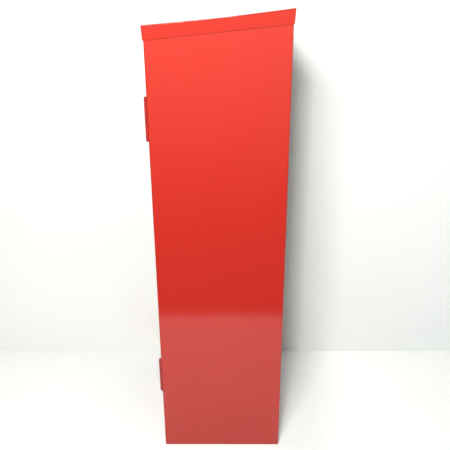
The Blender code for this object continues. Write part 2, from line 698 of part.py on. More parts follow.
def lever_arm():
    sides = 12
    # distance from the spindle, half height, half depth, centre depth behind the door's face
    sections = (
        (8.0, 9.5, 7.0, -22.0),
        (40.0, 8.0, 5.5, -24.0),
        (75.0, 7.0, 4.5, -25.5),
        (98.0, 7.5, 4.5, -25.5),
        (103.0, 4.5, 3.0, -25.5),
    )
    angles = [2 * math.pi * k / sides for k in range(sides)]
    return tube([
        [(HANDLE_X + reach, FRONT + depth + half_y * math.sin(a), HANDLE_Z + half_z * math.cos(a))
         for a in angles]
        for reach, half_z, half_y, depth in sections
    ])


def handle():
    """Escutcheon, lever (hub, spindle and arm) and key plug."""
    escutcheon = [(8.0, -0.3), (21.0, -0.3), (21.0, -1.8), (17.5, -5.0), (8.0, -5.0)]
    handle_part("handle_escutcheon", escutcheon, "chrome", 32)

    hub = [(6.3, -18.0), (0.0, -18.0), (0.0, 21.5), (5.0, 21.5), (5.0, 6.0), (7.6, 6.0),
           (7.6, -5.3), (13.5, -5.3), (15.0, -9.0), (15.0, -32.0), (13.0, -34.0), (6.3, -34.0)]
    lever = handle_part("handle_lever", hub, "chrome", 24)
    cut(lever, lever_arm(), "UNION")

    plug = [(0, -35.0), (5.2, -35.0), (6.0, -34.2), (6.0, -18.3), (0, -18.3)]
    key_plug = handle_part("key_plug", plug, "brass", 24)
    cut_box(key_plug, (HANDLE_X - 0.9, FRONT - 40, HANDLE_Z - 4.0),
            (HANDLE_X + 0.9, FRONT - 24, HANDLE_Z + 4.0))


def latch_cam():
    """Oval plate behind the rods with a drive pin at each end, and its hexagonal nut."""
    centre = (HANDLE_X, HANDLE_Z)
    outline = arc(THROW, THROW, 6.5, -45.0, 135.0, 10)
    outline += arc(-THROW, -THROW, 6.5, 135.0, 315.0, 10)
    points = [(HANDLE_X + x, HANDLE_Z + z) for x, z in outline]
    cam = finish("latch_cam", extrude(points, Y, CAM_Y0, CAM_Y1), "zinc", origin=HANDLE)
    for side in (-1, 1):
        pin = (HANDLE_X + side * THROW, HANDLE_Z + side * THROW)
        cut(cam, cylinder(pin, Y, PIN_DRIVE_R, ROD_Y0 - 0.8, CAM_Y0 + 1.0, 16), "UNION")
    cut_hole(cam, centre, Y, SPINDLE_BORE, CAM_Y0 - 2, CAM_Y1 + 2, 24)

    nut = finish("cam_nut", cylinder(centre, Y, 8.0, CAM_Y1 + LAP, CAM_Y1 + 5.0, 6), "zinc",
                 smooth=False, origin=HANDLE)
    cut_hole(nut, centre, Y, SPINDLE_BORE, CAM_Y1 - 2, CAM_Y1 + 8, 24)


def lock_rod(name, x, side, tip):
    """Flat rod with a wide, slotted head round its drive pin.

    `side` is -1 for the upper rod, on the -X side of the spindle, and +1 for the lower one.
    """
    pin_z = HANDLE_Z + side * THROW
    up = -side                     # +1 where the rod runs up
    head0, head1 = sorted((HANDLE_X + side * 6.0, HANDLE_X + side * 24.0))
    left, right = x - ROD_HALF, x + ROD_HALF
    heel, brow, neck = pin_z - up * 7, pin_z + up * 8, pin_z + up * 12
    shoulder = tip - up * 6
    points = [(head0, heel), (head1, heel), (head1, brow), (right, neck), (right, shoulder),
              (right - 2.5, tip), (left + 2.5, tip), (left, shoulder), (left, neck),
              (head0, brow)]
    ob = finish(name, extrude(points, Y, ROD_Y0, ROD_Y1), "zinc", smooth=False,
                origin=(x, ROD_Y0, pin_z))
    # the slot reaches from the pin's place here to its farthest place as the cam turns
    slot0, slot1 = sorted((HANDLE_X + side * (THROW - 3.1),
                           HANDLE_X + side * (THROW * math.sqrt(2) + 3.1)))
    cut_box(ob, (slot0, ROD_Y0 - 3, pin_z - 3.3), (slot1, ROD_Y1 + 3, pin_z + 3.3), 1.5, 2, Y)


def build():
    """Build every piece; the order sets the numbers of the cutters."""
    side_panels()
    back_panel()
    roof_cap()
    header, sill = front_rails()
    base_and_feet()
    door_stop()
    liners()
    rod_keepers(header, sill)
    bin_runners()
    bin_walls()
    bin_rim()
    platform()
    lift_springs()
    door_skin()
    door_fittings()
    slot_bezel()
    flap_pivot()
    slot_flap()
    hinges()
    handle()
    latch_cam()
    lock_rod("lock_rod_upper", UPPER_ROD_X, -1, DOOR_Z1 - ROD_INSET)
    lock_rod("lock_rod_lower", LOWER_ROD_X, 1, DOOR_Z0 + ROD_INSET)


for old in list(bpy.data.objects):
    bpy.data.objects.remove(old, do_unlink=True)
build()
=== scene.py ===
"""Book drop box: a red sheet-metal cabinet with a front door, a book slot and a lever lock.

A galvanised bin inside holds a felt-padded platform hung on four springs. Z is up, the door faces
-Y and is hinged at +X ("right"); the wall stands on the -X side, the camera on the +X side.
The box is modelled in millimetres about its footprint's centre, and placed in metres.
"""

import json
import math
from types import SimpleNamespace

import bmesh
import bpy
from mathutils import Matrix, Vector, noise

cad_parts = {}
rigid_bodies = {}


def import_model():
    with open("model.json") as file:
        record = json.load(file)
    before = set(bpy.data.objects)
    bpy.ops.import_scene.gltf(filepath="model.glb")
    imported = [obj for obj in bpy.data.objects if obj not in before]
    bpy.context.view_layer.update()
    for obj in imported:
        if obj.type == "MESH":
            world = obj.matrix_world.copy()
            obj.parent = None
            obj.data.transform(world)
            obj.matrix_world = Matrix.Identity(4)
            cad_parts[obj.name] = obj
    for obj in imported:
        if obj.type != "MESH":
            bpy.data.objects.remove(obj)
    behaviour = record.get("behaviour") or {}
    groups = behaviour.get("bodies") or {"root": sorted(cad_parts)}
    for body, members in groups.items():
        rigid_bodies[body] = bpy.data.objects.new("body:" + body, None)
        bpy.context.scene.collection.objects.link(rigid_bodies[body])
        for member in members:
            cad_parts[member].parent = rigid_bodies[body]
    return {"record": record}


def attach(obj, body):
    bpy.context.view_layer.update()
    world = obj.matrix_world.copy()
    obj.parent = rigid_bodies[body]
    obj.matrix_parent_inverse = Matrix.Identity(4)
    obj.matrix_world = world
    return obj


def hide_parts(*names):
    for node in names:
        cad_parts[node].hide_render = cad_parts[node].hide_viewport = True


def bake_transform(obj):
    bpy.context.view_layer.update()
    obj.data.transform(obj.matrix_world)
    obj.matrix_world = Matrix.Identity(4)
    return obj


for leftover in list(bpy.data.objects):
    bpy.data.objects.remove(leftover, do_unlink=True)

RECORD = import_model()["record"]
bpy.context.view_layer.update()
BODY_OF = {node: body for body, nodes in RECORD["behaviour"]["bodies"].items() for node in nodes}
SLOT_OF = {part["node"]: part["material_slot"] for part in RECORD["subparts"]}

# ================================================================ driving dimensions, millimetres
MM = 0.001               # metres in a millimetre
WIDTH, DEPTH = 400.0, 340.0
SHEET = 1.5              # cabinet sheet thickness
BEND = 3.0               # outside bend radius
LAP = 0.3                # clearance between lapped sheets
FOOT = 1.2               # how far the rubber feet stand proud
LID_FRONT = 1183.6       # lid top at the front edge
SLOPE = math.tan(math.radians(5.51))   # the lid rises to the back
SKIRT = 33.0             # lid skirt height
FLANGE = 14.0            # width of the side panels' return flanges
FRONT, BACK = -DEPTH / 2, DEPTH / 2
INNER_X = WIDTH / 2 - SHEET            # inner face of a side panel
DOOR_BOTTOM, DOOR_TOP = 47.0, 1146.0
DOOR_X = 184.0           # half width of the door
DOOR_DEEP = 18.0         # depth of the door's returns
BEHIND_DOOR = FRONT + SHEET + LAP      # where parts lie against the door's inner face
SLOT_X, SLOT_BOTTOM, SLOT_TOP = 150.0, 985.0, 1060.0
FLAP_Y, FLAP_Z = -163.5, 1068.0        # flap pivot
HANDLE_X, HANDLE_Z = -156.0, 620.0
ROD_FRONT, ROD_BACK = -160.0, -157.0   # the flat lock rods' faces
ROD_HALF = 6.0                         # half width of a lock rod
UPPER_ROD_X, LOWER_ROD_X = HANDLE_X - 15.0, HANDLE_X + 15.0
BIN_X, BIN_Y = 165.0, 138.0            # half sizes of the bin
BIN_BOTTOM, BIN_TOP, BIN_SHEET = 47.3, 860.0, 1.2
TRAY_Z = 600.0                         # platform top at rest
SPRING_X, SPRING_Y = 148.0, 121.0

# The lever stands out in front, so everything moves back by half of the difference.
SHIFT = Vector((0.0, 16.0, 0.0))

# Names with their signs along X, or along X and Y
SIDES = (("right", 1), ("left", -1))
CORNERS = (("front_right", 1, -1), ("front_left", -1, -1), ("back_right", 1, 1),
           ("back_left", -1, 1))
QUADRANTS = ((-1, -1), (-1, 1), (1, -1), (1, 1))


def lid_height(y):
    """Nominal height of the lid's top face."""
    return LID_FRONT + SLOPE * (y - FRONT)


# ================================================================ materials
class Shader:
    """Builds the node tree of a material or world."""

    def __init__(self, owner):
        owner.use_nodes = True
        self.owner, self.tree = owner, owner.node_tree
        self.tree.nodes.clear()
        self.object_coords = None

    def node(self, kind, props=None, **inputs):
        """Add a node. Input i0 is the first socket; other inputs go by name, _ for a space."""
        node = self.tree.nodes.new(kind)
        for key, value in (props or {}).items():
            setattr(node, key, value)
        for key, value in inputs.items():
            indexed = key[0] == "i" and key[1:].isdigit()
            self.feed(node.inputs[int(key[1:]) if indexed else key.replace("_", " ")], value)
        return node

    def feed(self, socket, value):
        if isinstance(value, bpy.types.NodeSocket):
            self.tree.links.new(value, socket)
        elif isinstance(value, bpy.types.Node):
            self.tree.links.new(value.outputs[0], socket)
        else:
            socket.default_value = value

    def math(self, operation, a, b=0.0, **third):
        return self.node("ShaderNodeMath", {"operation": operation}, i0=a, i1=b, **third)

    def times(self, a, b):
        return self.math("MULTIPLY", a, b)

    def plus(self, a, b):
        return self.math("ADD", a, b)

    def mix(self, amount, a, b):
        """Colour a turning into b as the amount goes from 0 to 1."""
        return self.node("ShaderNodeMix", {"data_type": "RGBA"}, i0=amount, i6=a, i7=b).outputs[2]

    def lerp(self, amount, a, b):
        return self.node("ShaderNodeMix", {"data_type": "FLOAT"}, i0=amount, i2=a, i3=b).outputs[0]

    def mix_shaders(self, amount, a, b):
        return self.node("ShaderNodeMixShader", Fac=amount, i1=a, i2=b)

    def coords(self):
        if self.object_coords is None:
            self.object_coords = self.node("ShaderNodeTexCoord").outputs["Object"]
        return self.object_coords

    def noise(self, scale, detail=2.0, rough=0.5, stretch=None, distort=0.0, vector=None):
        if vector is None:
            vector = self.coords()
        if stretch is not None:
            vector = self.node("ShaderNodeMapping", Vector=vector, Scale=stretch).outputs[0]
        return self.node("ShaderNodeTexNoise", Vector=vector, Scale=scale, Detail=detail,
                         Roughness=rough, Distortion=distort).outputs[0]

    def voronoi(self, scale, vector, feature="F1"):
        return self.node("ShaderNodeTexVoronoi", {"feature": feature}, Vector=vector, Scale=scale)

    def split(self, vector):
        return self.node("ShaderNodeSeparateXYZ", Vector=vector)

    def dot(self, a, b):
        product = self.node("ShaderNodeVectorMath", {"operation": "DOT_PRODUCT"}, i0=a, i1=b)
        return product.outputs["Value"]

    def ramp(self, value, start, end, low=0.0, high=1.0):
        """Smooth step from low at start to high at end."""
        return self.node("ShaderNodeMapRange", {"interpolation_type": "SMOOTHSTEP"}, Value=value,
                         From_Min=start, From_Max=end, To_Min=low, To_Max=high).outputs[0]

    def bump(self, height, distance, **normal):
        return self.node("ShaderNodeBump", Strength=1.0, Distance=distance, Height=height,
                         **normal).outputs[0]

    def edge(self, radius, samples=4, start=0.97, end=0.80):
        """1 where the rounded normal departs most from the true one, as on sharp edges."""
        rounded = self.node("ShaderNodeBevel", {"samples": samples}, Radius=radius)
        normal = self.node("ShaderNodeNewGeometry").outputs["Normal"]
        return self.ramp(self.dot(rounded.outputs[0], normal), start, end)

    def camera_place(self):
        """The camera's place in the world."""
        return self.node("ShaderNodeVectorTransform",
                         {"vector_type": "POINT", "convert_from": "CAMERA", "convert_to": "WORLD"},
                         Vector=(0.0, 0.0, 0.0)).outputs[0]

    def surface(self, shader):
        self.node("ShaderNodeOutputMaterial", Surface=shader)
        return self.owner

    def principled(self, **inputs):
        return self.surface(self.node("ShaderNodeBsdfPrincipled", **inputs).outputs[0])


def new_shader(name):
    return Shader(bpy.data.materials.new(name))


def rgb(red, green, blue):
    return (red, green, blue, 1.0)


def red_paint(name, lid=False):
    """Glossy powder coat: orange peel, slow waves, dust and handling marks, worn edges, painted
    shade along folds and rims.
    """
    tree = new_shader(name)
    slow = tree.noise(scale=2.6)
    smear = tree.noise(scale=9.0, detail=4.0, rough=0.6, stretch=(1.0, 1.0, 0.45), distort=0.4)
    fine = tree.noise(scale=60.0, detail=3.0, rough=0.6)
    base = tree.mix(slow, rgb(0.452, 0.0215, 0.0138), rgb(0.486, 0.0240, 0.0155))
    mottle = tree.times(tree.ramp(fine, start=0.42, end=0.72), 0.10)
    base = tree.mix(mottle, base, rgb(0.40, 0.020, 0.0145))
    # sparse dust specks and nibs in the coat
    cells = tree.voronoi(95.0, tree.coords())
    dots = tree.ramp(cells.outputs["Distance"], start=0.085, end=0.035)
    chosen = tree.ramp(cells.outputs["Color"], start=0.80, end=0.86)
    speck = tree.times(dots, chosen)
    base = tree.mix(tree.times(speck, 0.35), base, rgb(0.28, 0.02, 0.018))
    # painted shade: the colour darkens within about 6 mm of the folds and cut rims, where grazing
    # light leaves dark edge lines
    rim = tree.edge(radius=0.0062, samples=6, start=0.985)
    if lid:      # the band along the skirt's lower rim gets no painted shade
        place = tree.split(tree.coords())
        skirt_foot = (LID_FRONT - SKIRT) * MM - SLOPE * FRONT * MM
        foot_here = tree.math("MULTIPLY_ADD", place.outputs[1], SLOPE, i2=skirt_foot)
        above = tree.math("SUBTRACT", place.outputs[2], foot_here)
        rim = tree.times(rim, tree.ramp(above, start=0.010, end=0.022))
    # painted shade: the rims turn towards dark red
    base = tree.mix(tree.times(rim, 0.62), base, rgb(0.17, 0.012, 0.010))
    # broken wear on the sharpest edges
    patches = tree.ramp(tree.noise(scale=38.0, detail=3.0, rough=0.65), start=0.47, end=0.66)
    wear = tree.times(tree.edge(radius=0.0012), patches)
    base = tree.mix(tree.times(wear, 0.55), base, rgb(0.30, 0.055, 0.045))
    # light thrown on by the outer faces is nearly neutral, as if the pale room washed it out
    geometry = tree.node("ShaderNodeNewGeometry")
    from_middle = tree.node("ShaderNodeVectorMath", {"operation": "SUBTRACT"},
                            i0=geometry.outputs["Position"], i1=(0.0, 0.0, 0.6)).outputs[0]
    facing = tree.dot(geometry.outputs["Normal"], from_middle)
    outward = tree.math("GREATER_THAN", facing, 0.15)
    thrown = tree.times(outward, tree.node("ShaderNodeLightPath").outputs["Is Diffuse Ray"])
    base = tree.mix(tree.times(thrown, 0.70), base, rgb(0.16, 0.13, 0.12))
    # gloss, broken by smears, fine dust and long faint scuffs
    rough = tree.lerp(smear, 0.080, 0.120)
    rough = tree.plus(rough, tree.times(tree.ramp(fine, start=0.5, end=0.8), 0.04))
    streaks = tree.noise(scale=5.0, detail=5.0, rough=0.7, stretch=(9.0, 9.0, 0.8), distort=1.2)
    rough = tree.plus(rough, tree.times(tree.ramp(streaks, start=0.66, end=0.72), 0.10))
    # relief: waves of the sheet, orange peel, specks
    peel = tree.noise(scale=230.0)
    wave = tree.noise(scale=3.6, detail=1.0, rough=0.4, stretch=(1.0, 1.0, 0.6))
    normal = tree.bump(wave, distance=0.0011)
    normal = tree.bump(peel, distance=0.000045, Normal=normal)
    normal = tree.bump(speck, distance=0.00010, Normal=normal)
    return tree.principled(Base_Color=base, Roughness=rough, Normal=normal, IOR=1.46,
                           Coat_Weight=0.14, Coat_Roughness=0.05, Coat_IOR=1.5,
                           Coat_Normal=normal)


def galvanised():
    """Hot-dip zinc: flat crystals of two sizes, each with its own tone and tilt."""
    tree = new_shader("galvanised")
    wobble = tree.node("ShaderNodeTexNoise", Vector=tree.coords(), Scale=85.0, Detail=2.0)
    warped = tree.node("ShaderNodeVectorMath", {"operation": "MULTIPLY_ADD"},
                       i0=wobble.outputs["Color"], i1=(0.007, 0.007, 0.007),
                       i2=tree.coords()).outputs[0]
    crystal = 64.0     # texture scale of the larger crystals
    large = tree.node("ShaderNodeSeparateColor",
                      Color=tree.voronoi(crystal, warped).outputs["Color"])
    small = tree.node("ShaderNodeSeparateColor",
                      Color=tree.voronoi(150.0, warped).outputs["Color"])
    pick_small = tree.math("GREATER_THAN", large.outputs[2], 0.62)
    tone = tree.lerp(pick_small, large.outputs[0], small.outputs[0])
    feather = tree.noise(scale=420.0, distort=1.5, vector=warped)
    tone = tree.plus(tree.times(tone, 0.86), tree.times(feather, 0.14))
    base = tree.mix(tone, rgb(0.490, 0.510, 0.535), rgb(0.675, 0.695, 0.715))
    border = tree.voronoi(crystal, warped, "DISTANCE_TO_EDGE").outputs["Distance"]
    grain = tree.ramp(border, start=0.045, end=0.0)
    base = tree.mix(tree.times(grain, 0.16), base, rgb(0.40, 0.415, 0.435))
    dust = tree.ramp(tree.noise(scale=7.0, detail=4.0, rough=0.6), start=0.52, end=0.80)
    base = tree.mix(tree.times(dust, 0.10), base, rgb(0.52, 0.51, 0.48))
    rough = tree.plus(tree.lerp(tone, 0.27, 0.41), tree.times(dust, 0.08))
    waves = tree.bump(tree.noise(scale=5.0, detail=1.0), distance=0.0006)
    tilt = tree.bump(tone, distance=0.000025, Normal=waves)
    return tree.principled(Base_Color=base, Roughness=rough, Metallic=1.0, Normal=tilt)


def metal(name, dark, light, rough, stretch=(1.0, 1.0, 1.0), scale=180.0, relief=0.00002,
          dirt=0.25, dirt_colour=rgb(0.16, 0.15, 0.14)):
    """Bare metal: grain between two tones, patches of dirt, paler edges.

    rough is the roughness range; scale and stretch are the grain's."""
    tree = new_shader(name)
    grain = tree.noise(scale=scale, detail=4.0, rough=0.65, stretch=stretch)
    patches = tree.noise(scale=14.0, detail=4.0, rough=0.6)
    base = tree.mix(grain, dark, light)
    dirty = tree.times(tree.ramp(patches, start=0.52, end=0.78), dirt)
    base = tree.mix(dirty, base, dirt_colour)
    paler = rgb(*(min(1, channel * 1.3) for channel in light[:3]))
    base = tree.mix(tree.times(tree.edge(radius=0.0006), 0.4), base, paler)
    roughness = tree.lerp(tree.times(grain, patches), *rough)
    return tree.principled(Base_Color=base, Roughness=roughness, Metallic=1.0,
                           Normal=tree.bump(grain, relief))


def plain(name, dark, light, rough, scale, relief, specular=0.5):
    """Non-metal with fine and coarse mottling; rough is the roughness range."""
    tree = new_shader(name)
    fine = tree.noise(scale=scale, detail=4.0, rough=0.6)
    coarse = tree.noise(scale=scale / 8.0, detail=3.0, rough=0.6)
    return tree.principled(Base_Color=tree.mix(tree.lerp(0.5, fine, coarse), dark, light),
                           Roughness=tree.lerp(coarse, *rough),
                           Normal=tree.bump(fine, relief), Specular_IOR_Level=specular)


def felt():
    tree = new_shader("felt")
    fibres = tree.noise(scale=520.0, detail=5.0, rough=0.7, distort=1.5)
    tufts = tree.noise(scale=150.0, detail=4.0, rough=0.7, distort=2.5)
    pills = tree.ramp(tree.noise(scale=38.0, detail=4.0, rough=0.6), start=0.5, end=0.8)
    base = tree.mix(fibres, rgb(0.050, 0.058, 0.066), rgb(0.155, 0.17, 0.185))
    tufted = tree.times(tree.ramp(tufts, start=0.45, end=0.75), 0.45)
    base = tree.mix(tufted, base, rgb(0.10, 0.115, 0.13))
    base = tree.mix(tree.times(pills, 0.25), base, rgb(0.21, 0.22, 0.23))
    normal = tree.bump(fibres, distance=0.0006, Normal=tree.bump(tufts, distance=0.0010))
    return tree.principled(Base_Color=base, Roughness=0.95, Normal=normal, Sheen_Weight=0.5,
                           Sheen_Roughness=0.5, Specular_IOR_Level=0.1)


LOOK = {
    "red_lid": red_paint("red_paint_lid", lid=True),
    "red": red_paint("red_paint"),
    "galvanised": galvanised(),
    "zinc": metal("zinc_plate", dark=rgb(0.50, 0.51, 0.51), light=rgb(0.68, 0.69, 0.68),
                  rough=(0.22, 0.42), dirt=0.18, dirt_colour=rgb(0.36, 0.34, 0.27)),
    "brushed": metal("brushed_stainless", dark=rgb(0.52, 0.52, 0.515),
                     light=rgb(0.66, 0.66, 0.655), rough=(0.20, 0.36), stretch=(0.03, 1.0, 1.0),
                     scale=420.0, relief=0.00003, dirt=0.06),
    "steel": metal("spring_steel", dark=rgb(0.30, 0.295, 0.285), light=rgb(0.46, 0.455, 0.445),
                   rough=(0.25, 0.42), scale=260.0, dirt=0.3),
    "chrome": metal("chrome_plate", dark=rgb(0.66, 0.665, 0.67), light=rgb(0.80, 0.805, 0.81),
                    rough=(0.07, 0.20), scale=45.0, relief=0.000008, dirt=0.10,
                    dirt_colour=rgb(0.42, 0.40, 0.38)),
    "brass": metal("brass", dark=rgb(0.55, 0.40, 0.15), light=rgb(0.70, 0.53, 0.24),
                   rough=(0.20, 0.36), scale=160.0, dirt_colour=rgb(0.20, 0.13, 0.05)),
    "rubber": plain("rubber", dark=rgb(0.018, 0.018, 0.018), light=rgb(0.040, 0.039, 0.038),
                    rough=(0.55, 0.80), scale=140.0, relief=0.00006, specular=0.35),
    "nylon": plain("nylon", dark=rgb(0.66, 0.65, 0.60), light=rgb(0.76, 0.75, 0.71),
                   rough=(0.38, 0.55), scale=80.0, relief=0.00003),
    "felt": felt(),
    "thread": plain("thread", dark=rgb(0.27, 0.28, 0.29), light=rgb(0.42, 0.43, 0.44),
                    rough=(0.60, 0.85), scale=900.0, relief=0.00004),
}

# ================================================================ pieces
PIECES = []
ROUNDING = 0.35          # usual edge rounding


def add_object(name, data):
    ob = bpy.data.objects.new(name, data)
    bpy.context.scene.collection.objects.link(ob)
    return ob


def mesh_object(name, bm, offset):
    """An object of the bmesh, moved by the offset and brought to metres."""
    bmesh.ops.recalc_face_normals(bm, faces=bm.faces[:])
    matrix = Matrix.Scale(MM, 4) @ Matrix.Translation(offset)
    bmesh.ops.transform(bm, matrix=matrix, verts=bm.verts[:])
    mesh = bpy.data.meshes.new(name)
    bm.to_mesh(mesh)
    bm.free()
    return add_object(name, mesh)


def place(name, bm, look, origin=(0, 0, 0), body=None, slot=None, node=True, rounding=ROUNDING):
    """Make a visible piece; node says whether it stands for the CAD node of its name."""
    origin = Vector(origin)
    ob = mesh_object("v_" + name, bm, -origin)
    ob.location = (origin + SHIFT) * MM
    ob.data.materials.append(LOOK[look])
    ob["piece"] = len(PIECES)
    PIECES.append(SimpleNamespace(
        ob=ob, rounding=rounding, tools=[], body=body or BODY_OF[name],
        node=name if node else None, slot=slot or SLOT_OF.get(name)))
    return ob


def cut(ob, bm, operation="DIFFERENCE"):
    """Note a Boolean for settle() to carry out."""
    PIECES[ob["piece"]].tools.append((mesh_object("tool", bm, SHIFT), operation))


def cut_box(ob, *args):
    cut(ob, box_mesh(*args))


def cut_hole(ob, *args):
    cut(ob, cylinder(*args))


def apply_modifiers(ob):
    depsgraph = bpy.context.evaluated_depsgraph_get()
    mesh = bpy.data.meshes.new_from_object(ob.evaluated_get(depsgraph), depsgraph=depsgraph)
    old = ob.data
    ob.modifiers.clear()
    ob.data = mesh
    bpy.data.meshes.remove(old)


def apply_tools(ob, tools):
    for i, (tool, operation) in enumerate(tools):
        boolean = ob.modifiers.new("b%d" % i, "BOOLEAN")
        boolean.operation, boolean.solver, boolean.object = operation, "EXACT", tool
    bpy.context.view_layer.update()
    apply_modifiers(ob)
    for tool, _ in tools:
        mesh = tool.data
        bpy.data.objects.remove(tool)
        bpy.data.meshes.remove(mesh)


CLEANUPS = (
    lambda bm: bmesh.ops.remove_doubles(bm, verts=bm.verts[:], dist=2e-6),
    lambda bm: bmesh.ops.dissolve_degenerate(bm, edges=bm.edges[:], dist=2e-6),
    lambda bm: bmesh.ops.dissolve_limit(bm, angle_limit=math.radians(0.4), verts=bm.verts[:],
                                        edges=bm.edges[:], delimit={"NORMAL"}),
)


def clean(mesh):
    """Clear slivers and split flats, keeping a step only if the piece stays closed and full."""
    bm = bmesh.new()
    bm.from_mesh(mesh)
    for step in CLEANUPS:
        before = bm.copy()
        step(bm)
        broken = any(len(edge.link_faces) != 2 for edge in bm.edges)
        if broken or bm.calc_volume(signed=True) < 0.5 * before.calc_volume(signed=True):
            bm.free()
            bm = before
        else:
            before.free()
    bm.to_mesh(mesh)
    bm.free()


def round_edges(ob, width):
    bevel = ob.modifiers.new("edges", "BEVEL")
    bevel.width = width * MM
    bevel.segments = 2
    bevel.limit_method = "ANGLE"
    bevel.angle_limit = math.radians(42)
    bevel.use_clamp_overlap = True
    bevel.miter_outer = "MITER_ARC"
    bpy.context.view_layer.update()
    apply_modifiers(ob)


def settle():
    """Cut, clean, round and shade every piece, and tie it to its body."""
    for piece in PIECES:
        ob = piece.ob
        if piece.tools:
            apply_tools(ob, piece.tools)
        clean(ob.data)
        if piece.rounding > 0:
            round_edges(ob, piece.rounding)
        for polygon in ob.data.polygons:
            polygon.use_smooth = True
        ob.data.set_sharp_from_angle(angle=math.radians(33))
        ob.modifiers.new("normals", "WEIGHTED_NORMAL").keep_sharp = True
        if piece.node:
            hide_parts(piece.node)
        if piece.body != "blend":
            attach(ob, piece.body)


# ================================================================ outlines
def arc(centre_u, centre_v, radius, start, end, steps):
    angles = [math.radians(start + (end - start) * i / steps) for i in range(steps + 1)]
    return [(centre_u + radius * math.cos(a), centre_v + radius * math.sin(a)) for a in angles]


def folded(path, thick, radius, steps=6):
    """Outline of a sheet lying to the left of an open path, bent at the path's corners.

    The radius is the outside one."""
    points = [Vector(point) for point in path]
    outer, inner = [], []
    for i, point in enumerate(points):
        if i in (0, len(points) - 1):
            along = (points[1] - points[0]) if i == 0 else (points[-1] - points[-2])
            left = Vector((-along.y, along.x)).normalized()
            outer.append(tuple(point))
            inner.append(tuple(point + left * thick))
            continue
        before = (point - points[i - 1]).normalized()
        after = (points[i + 1] - point).normalized()
        left = Vector((-before.y, before.x))
        turn = before.x * after.y - before.y * after.x
        angle = math.acos(max(-1.0, min(1.0, before.dot(after))))
        side = 1 if turn > 0 else -1          # +1: the sheet is on the inside of the bend
        path_radius = radius if side > 0 else max(radius - thick, 0.4)
        other_radius = path_radius - side * thick
        start = point - before * (path_radius * math.tan(angle / 2))
        centre = start + left * side * path_radius
        arm = start - centre
        for k in range(steps + 1):
            a = side * angle * k / steps
            spoke = Vector((arm.x * math.cos(a) - arm.y * math.sin(a),
                            arm.x * math.sin(a) + arm.y * math.cos(a)))
            outer.append(tuple(centre + spoke))
            inner.append(tuple(centre + spoke * (other_radius / path_radius)))
    return outer + inner[::-1]


def mirrored(outline, about=0.0):
    return [(2 * about - u, v) for u, v in outline][::-1]


def shifted(outline, distance):
    return [(u + distance, v) for u, v in outline]


def tray_loops(depth, thick, radius, steps=6):
    """Loops for pan(): a face at height 0 with returns reaching the depth; also the cap loop."""
    angles = [math.radians(90 * i / steps) for i in range(steps + 1)]

    def bend(bend_radius):
        return [(radius - bend_radius * math.cos(a), radius - bend_radius * math.sin(a))
                for a in angles]

    loops = [(0.0, depth)] + bend(radius) + bend(radius - thick)[::-1] + [(thick, depth)]
    return loops, len(angles)


# ================================================================ solids, each a new bmesh
def ring_of(bm, points):
    return [bm.verts.new(point) for point in points]


def bridge(bm, first, second):
    """Join two rings with faces; a ring of one vertex is a pole."""
    if len(first) == len(second) == 1:
        return
    count = max(len(first), len(second))
    for k in range(count):
        following = (k + 1) % count
        if len(first) == 1:
            bm.faces.new((first[0], second[k], second[following]))
        elif len(second) == 1:
            bm.faces.new((first[k], first[following], second[0]))
        else:
            bm.faces.new((first[k], first[following], second[following], second[k]))


def skin(bm, rings, closed=False, skip=None):
    """Bridge rings in order, leaving out the gap after ring number skip."""
    for i in range(len(rings) if closed else len(rings) - 1):
        if i != skip:
            bridge(bm, rings[i], rings[(i + 1) % len(rings)])


def tube(bm, rings):
    skin(bm, rings)
    bm.faces.new(rings[0])
    bm.faces.new(rings[-1][::-1])


def box_mesh(corner, opposite, bevel=0.0, segments=1, bevel_axis=None):
    """A box; its bevel takes all edges, or those along one axis."""
    low, high = Vector(map(min, corner, opposite)), Vector(map(max, corner, opposite))
    bm = bmesh.new()
    matrix = Matrix.Translation((high + low) / 2) @ Matrix.Diagonal((*(high - low), 1.0))
    cube = bmesh.ops.create_cube(bm, size=1.0, matrix=matrix)
    if bevel:
        edges = list({edge for vert in cube["verts"] for edge in vert.link_edges})
        if bevel_axis is not None:
            edges = [edge for edge in edges if abs(
                (edge.verts[1].co - edge.verts[0].co).normalized()[bevel_axis]) > 0.9]
        bmesh.ops.bevel(bm, geom=edges, offset=bevel, offset_type="OFFSET", segments=segments,
                        profile=0.5, affect="EDGES", clamp_overlap=True)
    return bm


def extrude(outline, axis, start, end):
    """Extrude an outline along an axis; it lies in the other two axes, in X, Y, Z order."""
    bm = bmesh.new()
    points = []
    for point in outline:
        point = list(point)
        point.insert(axis, start)
        points.append(point)
    face = bm.faces.new(ring_of(bm, points))
    moved = bmesh.ops.extrude_face_region(bm, geom=[face])["geom"]
    step = [0, 0, 0]
    step[axis] = end - start
    bmesh.ops.translate(bm, vec=step,
                        verts=[item for item in moved if isinstance(item, bmesh.types.BMVert)])
    return bm


def pan(x0, x1, y0, y1, loops, cap, at):
    """Rectangular loops, each (inset, height), joined into one closed skin.

    Loops cap and cap + 1 get flat faces, unless cap is None. at maps (u, v, height) to X, Y, Z."""
    bm = bmesh.new()
    rings = [ring_of(bm, [at(u, v, height) for u, v in (
        (x0 + inset, y0 + inset), (x1 - inset, y0 + inset),
        (x1 - inset, y1 - inset), (x0 + inset, y1 - inset))]) for inset, height in loops]
    skin(bm, rings, skip=cap)
    if cap is not None:
        bm.faces.new(rings[cap])
        bm.faces.new(rings[cap + 1][::-1])
    bridge(bm, rings[-1], rings[0])
    return bm


def cylinder(centre, axis, radius, start, end, segments):
    bm = bmesh.new()
    turn = (Matrix.Rotation(math.pi / 2, 4, "Y"), Matrix.Rotation(-math.pi / 2, 4, "X"),
            Matrix.Identity(4))[axis]
    middle = list(centre)
    middle.insert(axis, (start + end) / 2)
    bmesh.ops.create_cone(bm, cap_ends=True, segments=segments, radius1=radius, radius2=radius,
                          depth=end - start, matrix=Matrix.Translation(middle) @ turn)
    return bm


